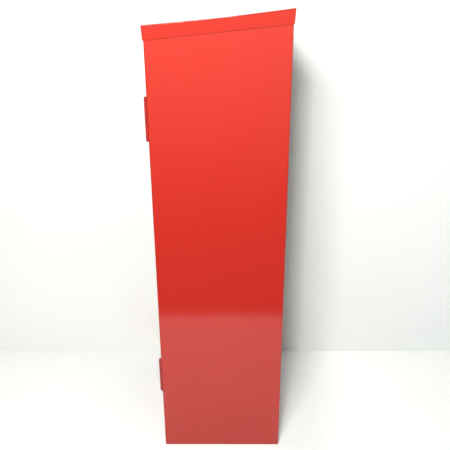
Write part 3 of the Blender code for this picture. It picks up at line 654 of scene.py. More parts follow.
def spin(bm, centre, axis, profile, segments):
    """Turn a (radius, height) profile about an axis line; it closes unless it starts on it."""
    rings = []
    for radius, height in profile:
        points = []
        for k in range(segments if radius > 1e-6 else 1):
            a = 2 * math.pi * k / segments
            point = [centre[0] + radius * math.cos(a), centre[1] + radius * math.sin(a)]
            point.insert(axis, height)
            points.append(point)
        rings.append(ring_of(bm, points))
    skin(bm, rings, closed=profile[0][0] > 1e-6)


def lathe(centre, axis, profile, segments):
    bm = bmesh.new()
    spin(bm, centre, axis, profile, segments)
    return bm


# ================================================================ cabinet shell
def side_panel(name, side):
    """A panel with a return flange front and back, its top sheared to the lid's slope."""
    edge, flange = WIDTH / 2, WIDTH / 2 - FLANGE
    outline = folded([(flange, FRONT), (edge, FRONT), (edge, BACK), (flange, BACK)], SHEET, BEND)
    if side < 0:
        outline = mirrored(outline)
    bm = extrude(outline, 2, FOOT, 1000.0)
    for vert in bm.verts:
        if vert.co.z > 500:
            vert.co.z = lid_height(vert.co.y) - SHEET - 5.0
    place(name, bm, "red")


def back_panel():
    """A sheet lapped inside the rear flanges, its centre field pressed out flush with them."""
    half, lapped = INNER_X - 1.3, BACK - SHEET - LAP
    border = half - (WIDTH / 2 - FLANGE - 2.5)
    loops = [(0.0, lapped), (border - 2.0, lapped), (border, BACK),
             (border + 0.6, BACK - SHEET), (border - 1.4, lapped - SHEET), (0.0, lapped - SHEET)]
    place("back_panel", pan(-half, half, 3.0, 1196.0, loops, 2, lambda u, v, h: (u, h, v)), "red")


def roof_cap():
    """Inverted tray sheared to the slope, skirts drawn in to the top, sagging mid-depth."""
    flare, sag, bend, steps = 1.7, 2.4, 2.0, 24

    def corner(radius, angles):
        return [(bend - radius * math.cos(math.radians(a)),
                 SKIRT - bend + radius * math.sin(math.radians(a))) for a in angles]

    profile = [(flare, 0.0), (flare * 0.5, SKIRT * 0.5)] + corner(bend, range(0, 91, 15))
    cap = len(profile) - 1
    profile += corner(bend - SHEET, (90, 60, 30, 0)) + [(flare + SHEET, 0.0)]
    bm = bmesh.new()
    rings = []
    for inset, height in profile:
        half_x = WIDTH / 2 + LAP + SHEET + flare - inset
        half_y = DEPTH / 2 + LAP + SHEET + flare - inset
        run = [-half_y + 2 * half_y * k / steps for k in range(steps + 1)]
        run_back = [half_y - 2 * half_y * k / steps for k in range(steps + 1)]
        rings.append(ring_of(bm, [
            (x, y, lid_height(y) - SKIRT + height
             - (height / SKIRT) * sag * (1.0 - (y / half_y) ** 2))
            for x, y in [(-half_x, y) for y in run] + [(half_x, y) for y in run_back]]))
    skin(bm, rings, closed=True, skip=cap)
    for ring in rings[cap:cap + 2]:
        for k in range(steps):
            bm.faces.new((ring[k], ring[k + 1], ring[2 * steps - k], ring[2 * steps + 1 - k]))
    place("roof_cap", bm, "red_lid", rounding=0.5)


for side_name, side in SIDES:
    side_panel("side_panel_" + side_name, side)
back_panel()
roof_cap()

# angles above and below the door, between the front flanges
half = WIDTH / 2 - FLANGE - LAP
path = [(FRONT, 1175.0), (FRONT, 1149.0), (FRONT + 24.0, 1149.0)]
header = place("front_header", extrude(folded(path, SHEET, BEND), 0, -half, half), "red")
path = [(FRONT + 24.0, 44.0), (FRONT, 44.0), (FRONT, FOOT)]
sill = place("front_sill", extrude(folded(path, SHEET, BEND), 0, -half, half), "red")

# base tray on four rubber feet
half_x, half_y = INNER_X - 1.0, DEPTH / 2 - SHEET - 1.0
base = place("base_pan", pan(-half_x, half_x, -half_y, half_y - SHEET,
                             *tray_loops(34.0, SHEET, BEND), lambda u, v, h: (u, v, h + 2.8)),
             "red")
FOOT_PROFILE = [(0, 0.0), (13.0, 0.0), (14.0, 1.0), (14.0, 2.5), (4.0, 2.5), (4.0, 4.6), (0, 4.6)]
for corner_name, sx, sy in CORNERS:
    x, y = sx * 165, -140 if sy < 0 else 135
    cut_hole(base, (x, y), 2, 4.4, 0.0, 10.0, 32)
    place("foot_" + corner_name, lathe((x, y), 2, FOOT_PROFILE, 40), "rubber", origin=(x, y, 0))

# door stop angle on the latch side with two rubber buffers
path = [(-INNER_X + LAP, -128.0), (-INNER_X + LAP, -146.0), (-177.0, -146.0)]
place("door_stop", extrude(folded(path, SHEET, BEND), 2, 60.0, 1140.0), "red")
BUFFER_PROFILE = [(0, -151.7), (3.6, -151.7), (4.6, -150.6), (5.0, -146.3), (0, -146.3)]
for level, z in (("upper", 850.0), ("lower", 300.0)):
    place("door_buffer_" + level, lathe((-183.3, z), 1, BUFFER_PROFILE, 32), "rubber")

# book chute: a steep apron below the slot
path = [(-147.0, 972.0), (-144.0, 958.0), (-127.0, 878.0), (-127.0, 866.0)]
place("book_chute", extrude(folded(path, SHEET, 2.0), 0, -174.0, 196.0), "galvanised")
# rear deflector: a sloped liner from the back wall down to the bin's rear edge
path = [(165.0, 1130.0), (165.0, 1105.0), (118.0, 885.0), (118.0, 868.0)]
place("rear_deflector", extrude(folded(path, SHEET, 3.0), 0, -196.0, 196.0), "galvanised")

# keepers: slotted plates behind the header and sill returns, where the lock rods land
# name, x, bottom, top
KEEPERS = (("upper", UPPER_ROD_X, 1150.8, 1152.8), ("lower", LOWER_ROD_X, 40.2, 42.2))
for level, x, bottom, top in KEEPERS:
    plate = box_mesh((x - 15, -166.0, bottom), (x + 15, -149.0, top), 2.0, 2, 2)
    keeper = place("rod_keeper_" + level, plate, "zinc")
    cut_box(keeper, (x - ROD_HALF - 1, ROD_FRONT - 1, bottom - 5),
            (x + ROD_HALF + 1, ROD_BACK + 1, top + 5))
for ob, x, bottom, top in ((header, UPPER_ROD_X, 1140, 1155), (sill, LOWER_ROD_X, 35, 50)):
    cut_box(ob, (x - 8.5, ROD_FRONT - 2, bottom), (x + 8.5, ROD_BACK + 2, top))

# bin runners: hat sections standing in the base tray
hat = folded([(-22, 4.6), (-12, 4.6), (-12, 45.5), (12, 45.5), (12, 4.6), (22, 4.6)],
             SHEET, 2.5, 4)
for side_name, side in SIDES:
    place("bin_runner_" + side_name, extrude(shifted(hat, side * 110.0), 1, -140.0, 140.0),
          "galvanised")

# ================================================================ collection bin
for side_name, side in SIDES:
    x0, x1 = sorted((side * (BIN_X - BIN_SHEET), side * BIN_X))
    wall = place("bin_side_" + side_name,
                 box_mesh((x0, -BIN_Y, BIN_BOTTOM), (x1, BIN_Y, BIN_TOP)), "galvanised")
    cut_box(wall, (x0 - 3, -48, 792), (x1 + 3, 48, 824), 12.0, 3, 0)    # grip hole
half = BIN_X - BIN_SHEET - LAP
for name, side in (("bin_front", -1), ("bin_back", 1)):
    outline = folded([(-half, -BIN_Y + 14.0), (-half, -BIN_Y), (half, -BIN_Y),
                      (half, -BIN_Y + 14.0)], BIN_SHEET, 2.0, 4)
    if side > 0:
        outline = [(u, -v) for u, v in outline][::-1]
    place(name, extrude(outline, 2, BIN_BOTTOM + BIN_SHEET + LAP, BIN_TOP - LAP), "galvanised")
place("bin_floor", box_mesh((-half, -BIN_Y, BIN_BOTTOM), (half, BIN_Y, BIN_BOTTOM + BIN_SHEET)),
      "galvanised")

# rim: a capping strip over the wall tops with a gusset in each corner for the springs
# inset, height above the walls
RIM_PROFILE = [(0.0, -12), (0.0, 1.2), (2.0, 3.0), (4.4, 3.0), (4.4, 0.3), (1.7, 0.3), (1.7, -12)]
half_x, half_y = BIN_X + 2.0, BIN_Y + 2.0
rim = place("bin_rim", pan(-half_x, half_x, -half_y, half_y, RIM_PROFILE, None,
                           lambda u, v, h: (u, v, BIN_TOP + h)), "galvanised")
for sx, sy in QUADRANTS:
    x, y = sx * (BIN_X - 1.5), sy * (BIN_Y - 1.5)
    gusset = [(x, y), (x - sx * 44, y), (x - sx * 44, y - sy * 2), (x - sx * 2, y - sy * 44),
              (x, y - sy * 44)]
    cut(rim, extrude(gusset, 2, BIN_TOP + 0.8, BIN_TOP + 2.6), "UNION")
    cut_hole(rim, (sx * SPRING_X, sy * SPRING_Y), 2, 3.0, BIN_TOP - 5, BIN_TOP + 8, 24)

# ================================================================ lift platform
TRAY_SHEET = 1.2
tray = place("platform_tray", pan(-158, 158, -120, 120, *tray_loops(22.0, TRAY_SHEET, 2.0),
                                  lambda u, v, h: (u, v, TRAY_Z - h)), "galvanised")
for sx, sy in QUADRANTS:
    lug = [(sx * 120, sy * 116), (sx * 157, sy * 116), (sx * 157, sy * 134), (sx * 120, sy * 134)]
    cut(tray, extrude(lug, 2, TRAY_Z - TRAY_SHEET, TRAY_Z), "UNION")
    cut_hole(tray, (sx * SPRING_X, sy * SPRING_Y), 2, 3.0, TRAY_Z - 8, TRAY_Z + 8, 24)

# felt pad on the tray, quilted in rectangles and bound by a seam near the rim
PAD_X, PAD_Y = 134.0, 116.0                    # half sizes
PAD_BOTTOM, PAD_TOP = TRAY_Z + 0.3, TRAY_Z + 4.3
PAD_CELLS_X, PAD_CELLS_Y = 176, 152
SEAM = 10.0                                    # the binding seam's distance from the rim
SEAMS_X = [-82.0, -41.0, 0.0, 41.0, 82.0]      # seams that run front to back
SEAMS_Y = [-69.0, -23.0, 23.0, 69.0]           # seams that run across


def pad_rim(x, y):
    """Distance from a point of the pad to its rim."""
    return min(PAD_X - abs(x), PAD_Y - abs(y))


def seam_gap(x, y):
    """Distance from a point of the pad to its nearest seam."""
    rim = pad_rim(x, y)
    gap = abs(rim - SEAM)
    if rim > SEAM - 0.5:
        gap = min([gap] + [abs(x - seam) for seam in SEAMS_X] + [abs(y - seam) for seam in SEAMS_Y])
    return gap


def pad_height(x, y):
    gap, rim = seam_gap(x, y), pad_rim(x, y)
    soft = 1.0 - max(0.0, 1.0 - rim / 3.2) ** 2            # falls off at the rim
    lump = (0.16 * noise.noise(Vector((x * 0.045, y * 0.045, 3.0)))
            + 0.10 * noise.noise(Vector((x * 0.16, y * 0.16, 7.0))))
    puff = 1.0 - math.exp(-((gap / 3.0) ** 1.5))           # rises from a seam, then flattens
    pucker = 0.20 * math.exp(-gap / 5.0) * math.sin(0.9 * x) * math.sin(0.9 * y)
    full = PAD_TOP - 0.3 - PAD_BOTTOM
    return (PAD_BOTTOM + full * (0.42 + 0.58 * soft) * (0.52 + 0.48 * puff)
            + (lump + pucker) * soft)


def pad_point(i, j):
    x = -PAD_X + 2 * PAD_X * i / PAD_CELLS_X
    y = -PAD_Y + 2 * PAD_Y * j / PAD_CELLS_Y
    z = pad_height(x, y)
    if pad_rim(x, y) < 0.01:                               # uneven rim
        wobble = 0.35 * noise.noise(Vector((x * 0.05, y * 0.05, 11.0)))
        x += wobble * (1 if x < 0 else -1) * 0.6
    return (x, y, z)


def platform_pad():
    bm = bmesh.new()
    count_x, count_y = PAD_CELLS_X, PAD_CELLS_Y
    top = [ring_of(bm, [pad_point(i, j) for j in range(count_y + 1)])
           for i in range(count_x + 1)]
    rim = ([top[i][0] for i in range(count_x + 1)]
           + [top[count_x][j] for j in range(1, count_y + 1)]
           + [top[i][count_y] for i in range(count_x - 1, -1, -1)]
           + [top[0][j] for j in range(count_y - 1, 0, -1)])
    bottom = ring_of(bm, [(vert.co.x, vert.co.y, PAD_BOTTOM) for vert in rim])
    for i in range(count_x):
        for j in range(count_y):
            bm.faces.new((top[i][j], top[i + 1][j], top[i + 1][j + 1], top[i][j + 1]))
    for k in range(len(rim)):
        following = (k + 1) % len(rim)
        bm.faces.new((rim[k], bottom[k], bottom[following], rim[following]))
    bm.faces.new(bottom)
    place("platform_pad", bm, "felt", rounding=0)


# a stitch: share of its length, share of its thread's radius, rise
STITCH = ((-0.5, 0.0, -0.5), (-0.40, 0.75, -0.22), (-0.2, 1.0, 0.0), (0.2, 1.0, 0.0),
          (0.40, 0.75, -0.22), (0.5, 0.0, -0.5))
STITCH_PITCH, STITCH_LENGTH, THREAD_RADIUS = 7.6, 5.0, 0.42


def stitch_line(bm, x0, y0, x1, y1):
    """Separate stitches of six-sided thread lying along a seam."""
    count = max(1, round(math.hypot(x1 - x0, y1 - y0) / STITCH_PITCH))
    along = Vector((x1 - x0, y1 - y0, 0.0)).normalized()
    across = Vector((-along.y, along.x, 0.0))
    up = Vector((0.0, 0.0, 1.0))
    for i in range(count):
        share = (i + 0.5) / count
        x, y = x0 + (x1 - x0) * share, y0 + (y1 - y0) * share
        middle = Vector((x, y, pad_height(x, y) + 0.16))
        rings = []
        for place_along, thickness, rise in STITCH:
            centre = middle + along * (STITCH_LENGTH * place_along) + up * rise
            angles = [0.0] if thickness == 0.0 else [math.pi * k / 3 for k in range(6)]
            rings.append(ring_of(bm, [
                centre + across * (math.cos(a) * THREAD_RADIUS * thickness)
                + up * (math.sin(a) * THREAD_RADIUS * thickness) for a in angles]))
        skin(bm, rings)


def pad_stitching():
    bm = bmesh.new()
    x, y = PAD_X - SEAM, PAD_Y - SEAM
    for line in ((-x, -y, x, -y), (x, -y, x, y), (x, y, -x, y), (-x, y, -x, -y)):
        stitch_line(bm, *line)
    for seam in SEAMS_X:
        stitch_line(bm, seam, -y, seam, y)
    for seam in SEAMS_Y:
        stitch_line(bm, -x, seam, x, seam)
    place("pad_stitching", bm, "thread", body="platform", slot=SLOT_OF["platform_pad"],
          node=False, rounding=0)


platform_pad()
pad_stitching()
for corner_name, sx, sy in CORNERS:
    shoe = box_mesh((sx * 158.3, sy * 85 - 18, TRAY_Z - 22), (sx * 163.5, sy * 85 + 18, TRAY_Z - 4),
                    0.8, 2)
    place("guide_shoe_" + corner_name, shoe, "nylon")

# ---------------------------------------------------------------- lift springs
COIL_RADIUS, WIRE_RADIUS = 5.6, 0.95
COIL_TURNS, TURN_STEPS, WIRE_SIDES = 58, 16, 8
EYE_RADIUS, EYE_OFFSET = 3.6, 6.5        # the end eyes, and how far beyond the coil they begin
HOOK_LOWER, HOOK_UPPER = 13.0, 11.0      # height taken by the hooks


def spring(name, x, y):
    """Extension spring: a round-wire helix with an open eye at each end."""
    low = TRAY_Z + 0.3 + HOOK_LOWER
    high = BIN_TOP + 0.4 - HOOK_UPPER

    def eye(end, side):
        """Eye in the X-Z plane beyond a coil end; side is +1 upwards."""
        middle = end + side * EYE_OFFSET
        angles = [-math.pi / 2 + 1.72 * math.pi * k / 14 for k in range(15)]
        return [Vector((x + EYE_RADIUS * math.cos(a), y,
                        middle + side * EYE_RADIUS * math.sin(a))) for a in angles]

    total = COIL_TURNS * TURN_STEPS
    coil = []
    for i in range(total + 1):
        a = 2 * math.pi * i / TURN_STEPS
        coil.append(Vector((x + COIL_RADIUS * math.cos(a), y + COIL_RADIUS * math.sin(a),
                            low + (high - low) * i / total)))
    path = eye(low, -1)[::-1] + coil + eye(high, 1)
    bm = bmesh.new()
    rings = []
    side = None
    for i, point in enumerate(path):
        along = (path[min(i + 1, len(path) - 1)] - path[max(i - 1, 0)]).normalized()
        # the section's frame is carried along the wire without twist
        side = along.cross(Vector((0, 0, 1))) if side is None else side - along * side.dot(along)
        side = side.normalized()
        other = along.cross(side)
        angles = [2 * math.pi * k / WIRE_SIDES for k in range(WIRE_SIDES)]
        rings.append(ring_of(bm, [
            point + (side * math.cos(a) + other * math.sin(a)) * WIRE_RADIUS for a in angles]))
    tube(bm, rings)
    place(name, bm, "steel", body="blend", rounding=0)


for corner_name, sx, sy in CORNERS:
    spring("lift_spring_" + corner_name, sx * SPRING_X, sy * SPRING_Y)

# ================================================================ door
HINGE_X, HINGE_Y = 186.0, -174.3
door = place("door_skin", pan(-DOOR_X, DOOR_X, DOOR_BOTTOM, DOOR_TOP,
                              *tray_loops(DOOR_DEEP, SHEET, BEND),
                              lambda u, v, h: (u, FRONT + h, v)),
             "red", origin=(HINGE_X, HINGE_Y, 0))
cut_box(door, (-SLOT_X - 4, FRONT - 5, SLOT_BOTTOM - 4), (SLOT_X + 4, FRONT + 5, SLOT_TOP + 4),
        6.0, 3, 1)
cut_hole(door, (HANDLE_X, HANDLE_Z), 1, 9.0, FRONT - 5, FRONT + 5, 40)
# notches for the lock rods in the top and bottom returns
for x, bottom, top in ((UPPER_ROD_X, DOOR_TOP - 10, DOOR_TOP + 5),
                       (LOWER_ROD_X, DOOR_BOTTOM - 5, DOOR_BOTTOM + 10)):
    cut_box(door, (x - 8, ROD_FRONT - 1.5, bottom), (x + 8, ROD_BACK + 1.5, top))

# vertical hat stiffener behind the door and two rod guides
STIFFENER_X = 40
hat = folded([(-30, BEHIND_DOOR), (-16, BEHIND_DOOR), (-16, FRONT + 14), (16, FRONT + 14),
              (16, BEHIND_DOOR), (30, BEHIND_DOOR)], 1.2, 2.0, 4)
place("door_stiffener", extrude(shifted(hat, STIFFENER_X), 2, 70.0, 950.0), "red")
clip = folded([(-9.3, BEHIND_DOOR), (-6.9, BEHIND_DOOR), (-6.9, ROD_BACK + 1.9),
               (6.9, ROD_BACK + 1.9), (6.9, BEHIND_DOOR), (14, BEHIND_DOOR)], 1.2, 1.6, 4)
for level, x, z in (("upper", UPPER_ROD_X, 900.0), ("lower", LOWER_ROD_X, 300.0)):
    place("rod_guide_" + level, extrude(shifted(clip, x), 2, z, z + 20.0), "zinc")

BEZEL = 12.5             # how far the bezel reaches round the slot
BEZEL_FACE = FRONT - 2.8


def slot_bezel():
    """A frame on the door's face whose lip lines the opening."""
    # inset from the outer rim, Y
    profile = [(0.0, FRONT - LAP), (0.0, FRONT - 1.6), (1.2, BEZEL_FACE), (11.0, BEZEL_FACE),
               (BEZEL, FRONT - 1.6), (BEZEL, FRONT + SHEET + 0.1), (11.0, FRONT + SHEET + 0.1),
               (11.0, FRONT - LAP)]
    bm = bmesh.new()
    rings = []
    for inset, y in profile:
        right = SLOT_X + BEZEL - inset
        bottom, top = SLOT_BOTTOM - BEZEL + inset, SLOT_TOP + BEZEL - inset
        corner = 5.0 + (BEZEL - inset) * 0.4
        knee = 0.3 * corner
        outline = [
            (-right + corner, bottom), (right - corner, bottom), (right - knee, bottom + knee),
            (right, bottom + corner), (right, top - corner), (right - knee, top - knee),
            (right - corner, top), (-right + corner, top), (-right + knee, top - knee),
            (-right, top - corner), (-right, bottom + corner), (-right + knee, bottom + knee)]
        rings.append(ring_of(bm, [(x, y, z) for x, z in outline]))
    skin(bm, rings, closed=True)
    place("slot_bezel", bm, "brushed")


slot_bezel()

# flap pivot: brackets behind the door and a rod between them
FLAP_BORE = 3.08
FLAP_ORIGIN = (0, FLAP_Y, FLAP_Z)
for side_name, side in SIDES:
    outline = folded([(156.4, -156.0), (156.4, BEHIND_DOOR), (160.2, BEHIND_DOOR)], 1.5, 1.6, 4)
    if side < 0:
        outline = mirrored(outline)
    bracket = place("flap_bracket_" + side_name, extrude(outline, 2, FLAP_Z - 8.0, FLAP_Z + 8.0),
                    "zinc")
    cut_hole(bracket, (FLAP_Y, FLAP_Z), 0, FLAP_BORE, *sorted((side * 140, side * 170)), 48)
place("flap_rod", cylinder((FLAP_Y, FLAP_Z), 0, 3.0, -160.2, 160.2, 48), "steel",
      origin=FLAP_ORIGIN)

# flap: a sheet whose top edge curls round the rod, with a rubber channel over its lower edge
FLAP_X, FLAP_END = 153.5, 979.0          # half width, lower edge
curl = FLAP_BORE + 1.5
flap_front, flap_back = FLAP_Y - curl, FLAP_Y - FLAP_BORE
outline = ([(flap_front, FLAP_END)] + arc(FLAP_Y, FLAP_Z, curl, 180.0, -120.0, 28)
           + arc(FLAP_Y, FLAP_Z, FLAP_BORE, -120.0, 180.0, 28) + [(flap_back, FLAP_END)])
place("slot_flap", extrude(outline, 0, -FLAP_X, FLAP_X), "red", origin=FLAP_ORIGIN)
outline = [(flap_front, FLAP_END - 0.3), (flap_back + 0.3, FLAP_END - 0.3),
           (flap_back + 0.3, FLAP_END + 7), (flap_back + 1.5, FLAP_END + 7),
           (flap_back + 1.5, FLAP_END - 1.0), (flap_back + 0.7, FLAP_END - 1.9),
           (flap_front + 0.4, FLAP_END - 1.9), (flap_front, FLAP_END - 1.4)]
place("flap_trim", extrude(outline, 0, -FLAP_X, FLAP_X), "rubber", origin=FLAP_ORIGIN)

# ---------------------------------------------------------------- hinges
HINGES = (("lower", 191.0), ("upper", 921.0))      # name, bottom
HINGE_LENGTH = 102.0
KNUCKLE_RADIUS, KNUCKLE_BORE, PIN_RADIUS = 4.0, 2.62, 2.5
KNUCKLES = (0.0, 13.0, 38.0, 64.0, 89.0, HINGE_LENGTH)     # joints between knuckles


def hinge_leaf(name, bottom, tail, side, own):
    """Leaf whose edge curls into its own knuckles; side is +1 on the frame, -1 on the door."""
    # the tail leaves the barrel on its back tangent, and the curl ends clear of it
    outline = ([(HINGE_X + tail, HINGE_Y + KNUCKLE_RADIUS)]
               + arc(HINGE_X, HINGE_Y, KNUCKLE_RADIUS, 90.0, 390.0, 32)
               + arc(HINGE_X, HINGE_Y, KNUCKLE_BORE, 390.0, 90.0, 32)
               + [(HINGE_X + tail, HINGE_Y + KNUCKLE_BORE)])
    if side < 0:
        outline = mirrored(outline, about=HINGE_X)
    leaf = place(name, extrude(outline, 2, bottom, bottom + HINGE_LENGTH), "red",
                 origin=(HINGE_X, HINGE_Y, bottom))
    for i in range(5):
        if i in own:
            continue
        start, end = bottom + KNUCKLES[i] - 0.3, bottom + KNUCKLES[i + 1] + 0.3
        if i == 0:
            start -= 5
        if i == 4:
            end += 5
        cut_box(leaf, (HINGE_X - side * 6.0, HINGE_Y - 6, start),
                (HINGE_X + side * 4.8, HINGE_Y + 6, end))


for level, bottom in HINGES:
    hinge_leaf("hinge_frame_leaf_" + level, bottom, 12.5, 1, (0, 2, 4))
    hinge_leaf("hinge_door_leaf_" + level, bottom, 21.5, -1, (1, 3))
    top = bottom + HINGE_LENGTH
    profile = [(0, bottom - 2.8), (2.6, bottom - 2.8), (3.7, bottom - 1.8), (3.7, bottom - 0.3),
               (PIN_RADIUS, bottom - 0.3), (PIN_RADIUS, top + 0.3),
               (3.7, top + 0.3), (3.7, top + 1.8), (2.6, top + 2.8), (0, top + 2.8)]
    place("hinge_pin_" + level, lathe((HINGE_X, HINGE_Y), 2, profile, 40), "red",
          origin=(HINGE_X, HINGE_Y, bottom))

# ================================================================ handle and lock
SPINDLE = (HANDLE_X, HANDLE_Z)
HANDLE_ORIGIN = (HANDLE_X, FRONT, HANDLE_Z)
SPINDLE_BORE = 5.15      # radius of the holes over the spindle
THROW = 12.0             # half of a lock rod's travel; the drive pins sit this far off in X and Z


def turned(profile, segments):
    """A part turned about the spindle; the profile is (radius, Y from the door's face)."""
    return lathe(SPINDLE, 1, [(radius, FRONT + y) for radius, y in profile], segments)


place("handle_escutcheon",
      turned([(8.0, -0.3), (21.0, -0.3), (21.0, -1.8), (17.5, -5.0), (8.0, -5.0)], 64),
      "chrome", origin=HANDLE_ORIGIN)

# lever: a hub with a turned groove, a tapering arm and a spindle in one casting
HUB_PROFILE = [
    (6.3, -18.0), (0.0, -18.0), (0.0, 21.5), (5.0, 21.5), (5.0, 6.0), (7.6, 6.0), (7.6, -5.3),
    (13.5, -5.3), (14.6, -6.8), (15.0, -9.0), (15.0, -11.4), (14.3, -12.0), (14.3, -13.4),
    (15.0, -14.0), (15.0, -31.6), (14.6, -32.9), (13.6, -33.7), (12.4, -34.0), (6.3, -34.0)]
# the arm's stations: distance from the spindle, half height, half thickness, middle's Y
ARM_STATIONS = (
    (6.0, 11.5, 8.0, -21.5), (16.0, 10.0, 7.4, -22.2), (26.0, 8.6, 6.4, -23.2),
    (45.0, 7.6, 5.2, -24.4), (70.0, 7.0, 4.6, -25.3), (90.0, 7.3, 4.6, -25.5),
    (98.0, 7.2, 4.5, -25.5), (101.5, 6.2, 3.9, -25.5), (103.6, 4.6, 2.9, -25.5),
    (104.6, 2.6, 1.7, -25.5))


def lever_arm():
    """A run of squarish ovals, four steps between stations."""
    stations = []
    for first, second in zip(ARM_STATIONS, ARM_STATIONS[1:]):
        for j in range(4):
            stations.append([a + (b - a) * (j / 4) for a, b in zip(first, second)])
    stations.append(ARM_STATIONS[-1])

    def squared(value):
        return math.copysign(abs(value) ** 0.8, value)

    bm = bmesh.new()
    angles = [2 * math.pi * k / 32 for k in range(32)]
    tube(bm, [ring_of(bm, [(HANDLE_X + reach,
                            FRONT + middle + half_y * squared(math.sin(a)),
                            HANDLE_Z + half_z * squared(math.cos(a))) for a in angles])
              for reach, half_z, half_y, middle in stations])
    return bm


lever = place("handle_lever", turned(HUB_PROFILE, 64), "chrome", origin=HANDLE_ORIGIN,
              rounding=0.45)
cut(lever, lever_arm(), "UNION")

# key plug in the hub, with its key slot
plug = place("key_plug",
             turned([(0, -35.0), (5.2, -35.0), (6.0, -34.2), (6.0, -18.3), (0, -18.3)], 48),
             "brass", origin=HANDLE_ORIGIN)
cut_box(plug, (HANDLE_X - 0.9, FRONT - 40, HANDLE_Z - 4.0),
        (HANDLE_X + 0.9, FRONT - 24, HANDLE_Z + 4.0))

# cam: an oval plate behind the rods with a drive pin at each end, held on the spindle by a nut
CAM_FRONT, CAM_BACK = ROD_BACK + 0.8, ROD_BACK + 3.8
oval = arc(THROW, THROW, 6.5, -45.0, 135.0, 20) + arc(-THROW, -THROW, 6.5, 135.0, 315.0, 20)
cam = place("latch_cam", extrude([(HANDLE_X + u, HANDLE_Z + v) for u, v in oval], 1,
                                 CAM_FRONT, CAM_BACK), "zinc", origin=HANDLE_ORIGIN)
for side in (-1, 1):
    pin_centre = (HANDLE_X + side * THROW, HANDLE_Z + side * THROW)
    cut(cam, cylinder(pin_centre, 1, 2.5, ROD_FRONT - 0.8, CAM_FRONT + 1.0, 32), "UNION")
cut_hole(cam, SPINDLE, 1, SPINDLE_BORE, CAM_FRONT - 2, CAM_BACK + 2, 48)
nut = place("cam_nut", cylinder(SPINDLE, 1, 8.0, CAM_BACK + 0.3, CAM_BACK + 5.0, 6), "zinc",
            origin=HANDLE_ORIGIN)
cut_hole(nut, SPINDLE, 1, SPINDLE_BORE, CAM_BACK - 2, CAM_BACK + 8, 48)


def lock_rod(name, x, side, end):
    """Flat rod with a slotted head round its drive pin; the upper rod's side is -1."""
    pin_z = HANDLE_Z + side * THROW
    up = -side                  # +1: the rod runs up
    head0, head1 = sorted((HANDLE_X + side * 6.0, HANDLE_X + side * 24.0))
    outline = [(head0, pin_z - up * 7), (head1, pin_z - up * 7), (head1, pin_z + up * 8),
               (x + ROD_HALF, pin_z + up * 12), (x + ROD_HALF, end - up * 6),
               (x + ROD_HALF - 2.5, end), (x - ROD_HALF + 2.5, end),
               (x - ROD_HALF, end - up * 6), (x - ROD_HALF, pin_z + up * 12),
               (head0, pin_z + up * 8)]
    rod = place(name, extrude(outline, 1, ROD_FRONT, ROD_BACK), "zinc",
                origin=(x, ROD_FRONT, pin_z))
    cut_box(rod, (HANDLE_X + side * (THROW - 3.1), ROD_FRONT - 3, pin_z - 3.3),
            (HANDLE_X + side * (THROW * math.sqrt(2) + 3.1), ROD_BACK + 3, pin_z + 3.3), 1.5, 2, 1)


lock_rod("lock_rod_upper", UPPER_ROD_X, -1, 1144.0)
lock_rod("lock_rod_lower", LOWER_ROD_X, 1, 49.0)


# ================================================================ fasteners, joined by body
def rivets(name, points, axis, side, radius, height, look, body):
    """Low domes standing on points along side times the axis, sunk a little into the sheet."""
    profile = [(0.0, -0.25), (radius, -0.25), (radius, height * 0.12)]
    profile += [(radius * math.cos(math.radians(a)),
                 height * 0.12 + height * 0.88 * math.sin(math.radians(a)))
                for a in (18, 36, 54, 72)]
    profile += [(0.0, height)]
    bm = bmesh.new()
    for point in points:
        centre = list(point)
        foot = centre.pop(axis)
        spin(bm, centre, axis, [(r, foot + side * rise) for r, rise in profile], 20)
    place(name, bm, look, body=body, slot="red_paint" if look == "red" else "zinc",
          node=False, rounding=0)


# down both rear flanges
rivets("rivets_back", [(sx * 191.5, BACK, 60 + i * 156.0) for sx in (-1, 1) for i in range(8)],
       1, 1, 3.4, 1.2, "red", "cabinet")
# low weld dimples on the front flanges
rivets("welds_front", [(sx * 192.5, FRONT, z) for sx in (-1, 1) for z in (14.0, 32.0, 1126.0)],
       1, -1, 2.6, 0.28, "red", "cabinet")
for level, bottom in HINGES:
    for part, x, radius, body in (("frame", 193.4, 2.9, "cabinet"), ("door", 172.0, 3.4, "door")):
        points = [(x, HINGE_Y + KNUCKLE_BORE, bottom + dz) for dz in (14.0, 51.0, 88.0)]
        rivets(f"hinge_{part}_screws_{level}", points, 1, -1, radius, 0.5, "zinc", body)
# above, below and beside the slot
rivets("bezel_rivets",
       [(x, BEZEL_FACE, z) for x in (-120.0, 0.0, 120.0)
        for z in (SLOT_BOTTOM - 6.4, SLOT_TOP + 6.4)]
       + [(sx * 156.4, BEZEL_FACE, (SLOT_BOTTOM + SLOT_TOP) / 2) for sx in (-1, 1)],
       1, -1, 2.3, 0.9, "brushed", "door")
# in the lid's rear skirt
rivets("lid_screws_back", [(x, DEPTH / 2 + LAP + SHEET + 0.5, lid_height(BACK) - 16.0)
                           for x in (-150.0, 0.0, 150.0)], 1, 1, 3.6, 1.0, "zinc", "cabinet")
# along the bin's corner laps
for side_name, side in SIDES:
    points = [(side * BIN_X, sy * (BIN_Y - 7.5), 90 + i * 105.0)
              for sy in (-1, 1) for i in range(8)]
    rivets("bin_rivets_" + side_name, points, 0, side, 2.4, 1.0, "zinc", "cabinet")
# through the feet of the stiffener and of the rod guides, 1.2 thick
rivets("stiffener_rivets", [(STIFFENER_X + dx, BEHIND_DOOR + 1.2, z) for dx in (-23.5, 23.5)
                            for z in (90.0, 250.0, 410.0, 570.0, 730.0, 930.0)],
       1, 1, 2.3, 0.9, "red", "door")
rivets("guide_rivets", [(UPPER_ROD_X + 11.0, BEHIND_DOOR + 1.2, 910.0),
                        (LOWER_ROD_X + 11.0, BEHIND_DOOR + 1.2, 310.0)],
       1, 1, 1.9, 0.8, "zinc", "door")
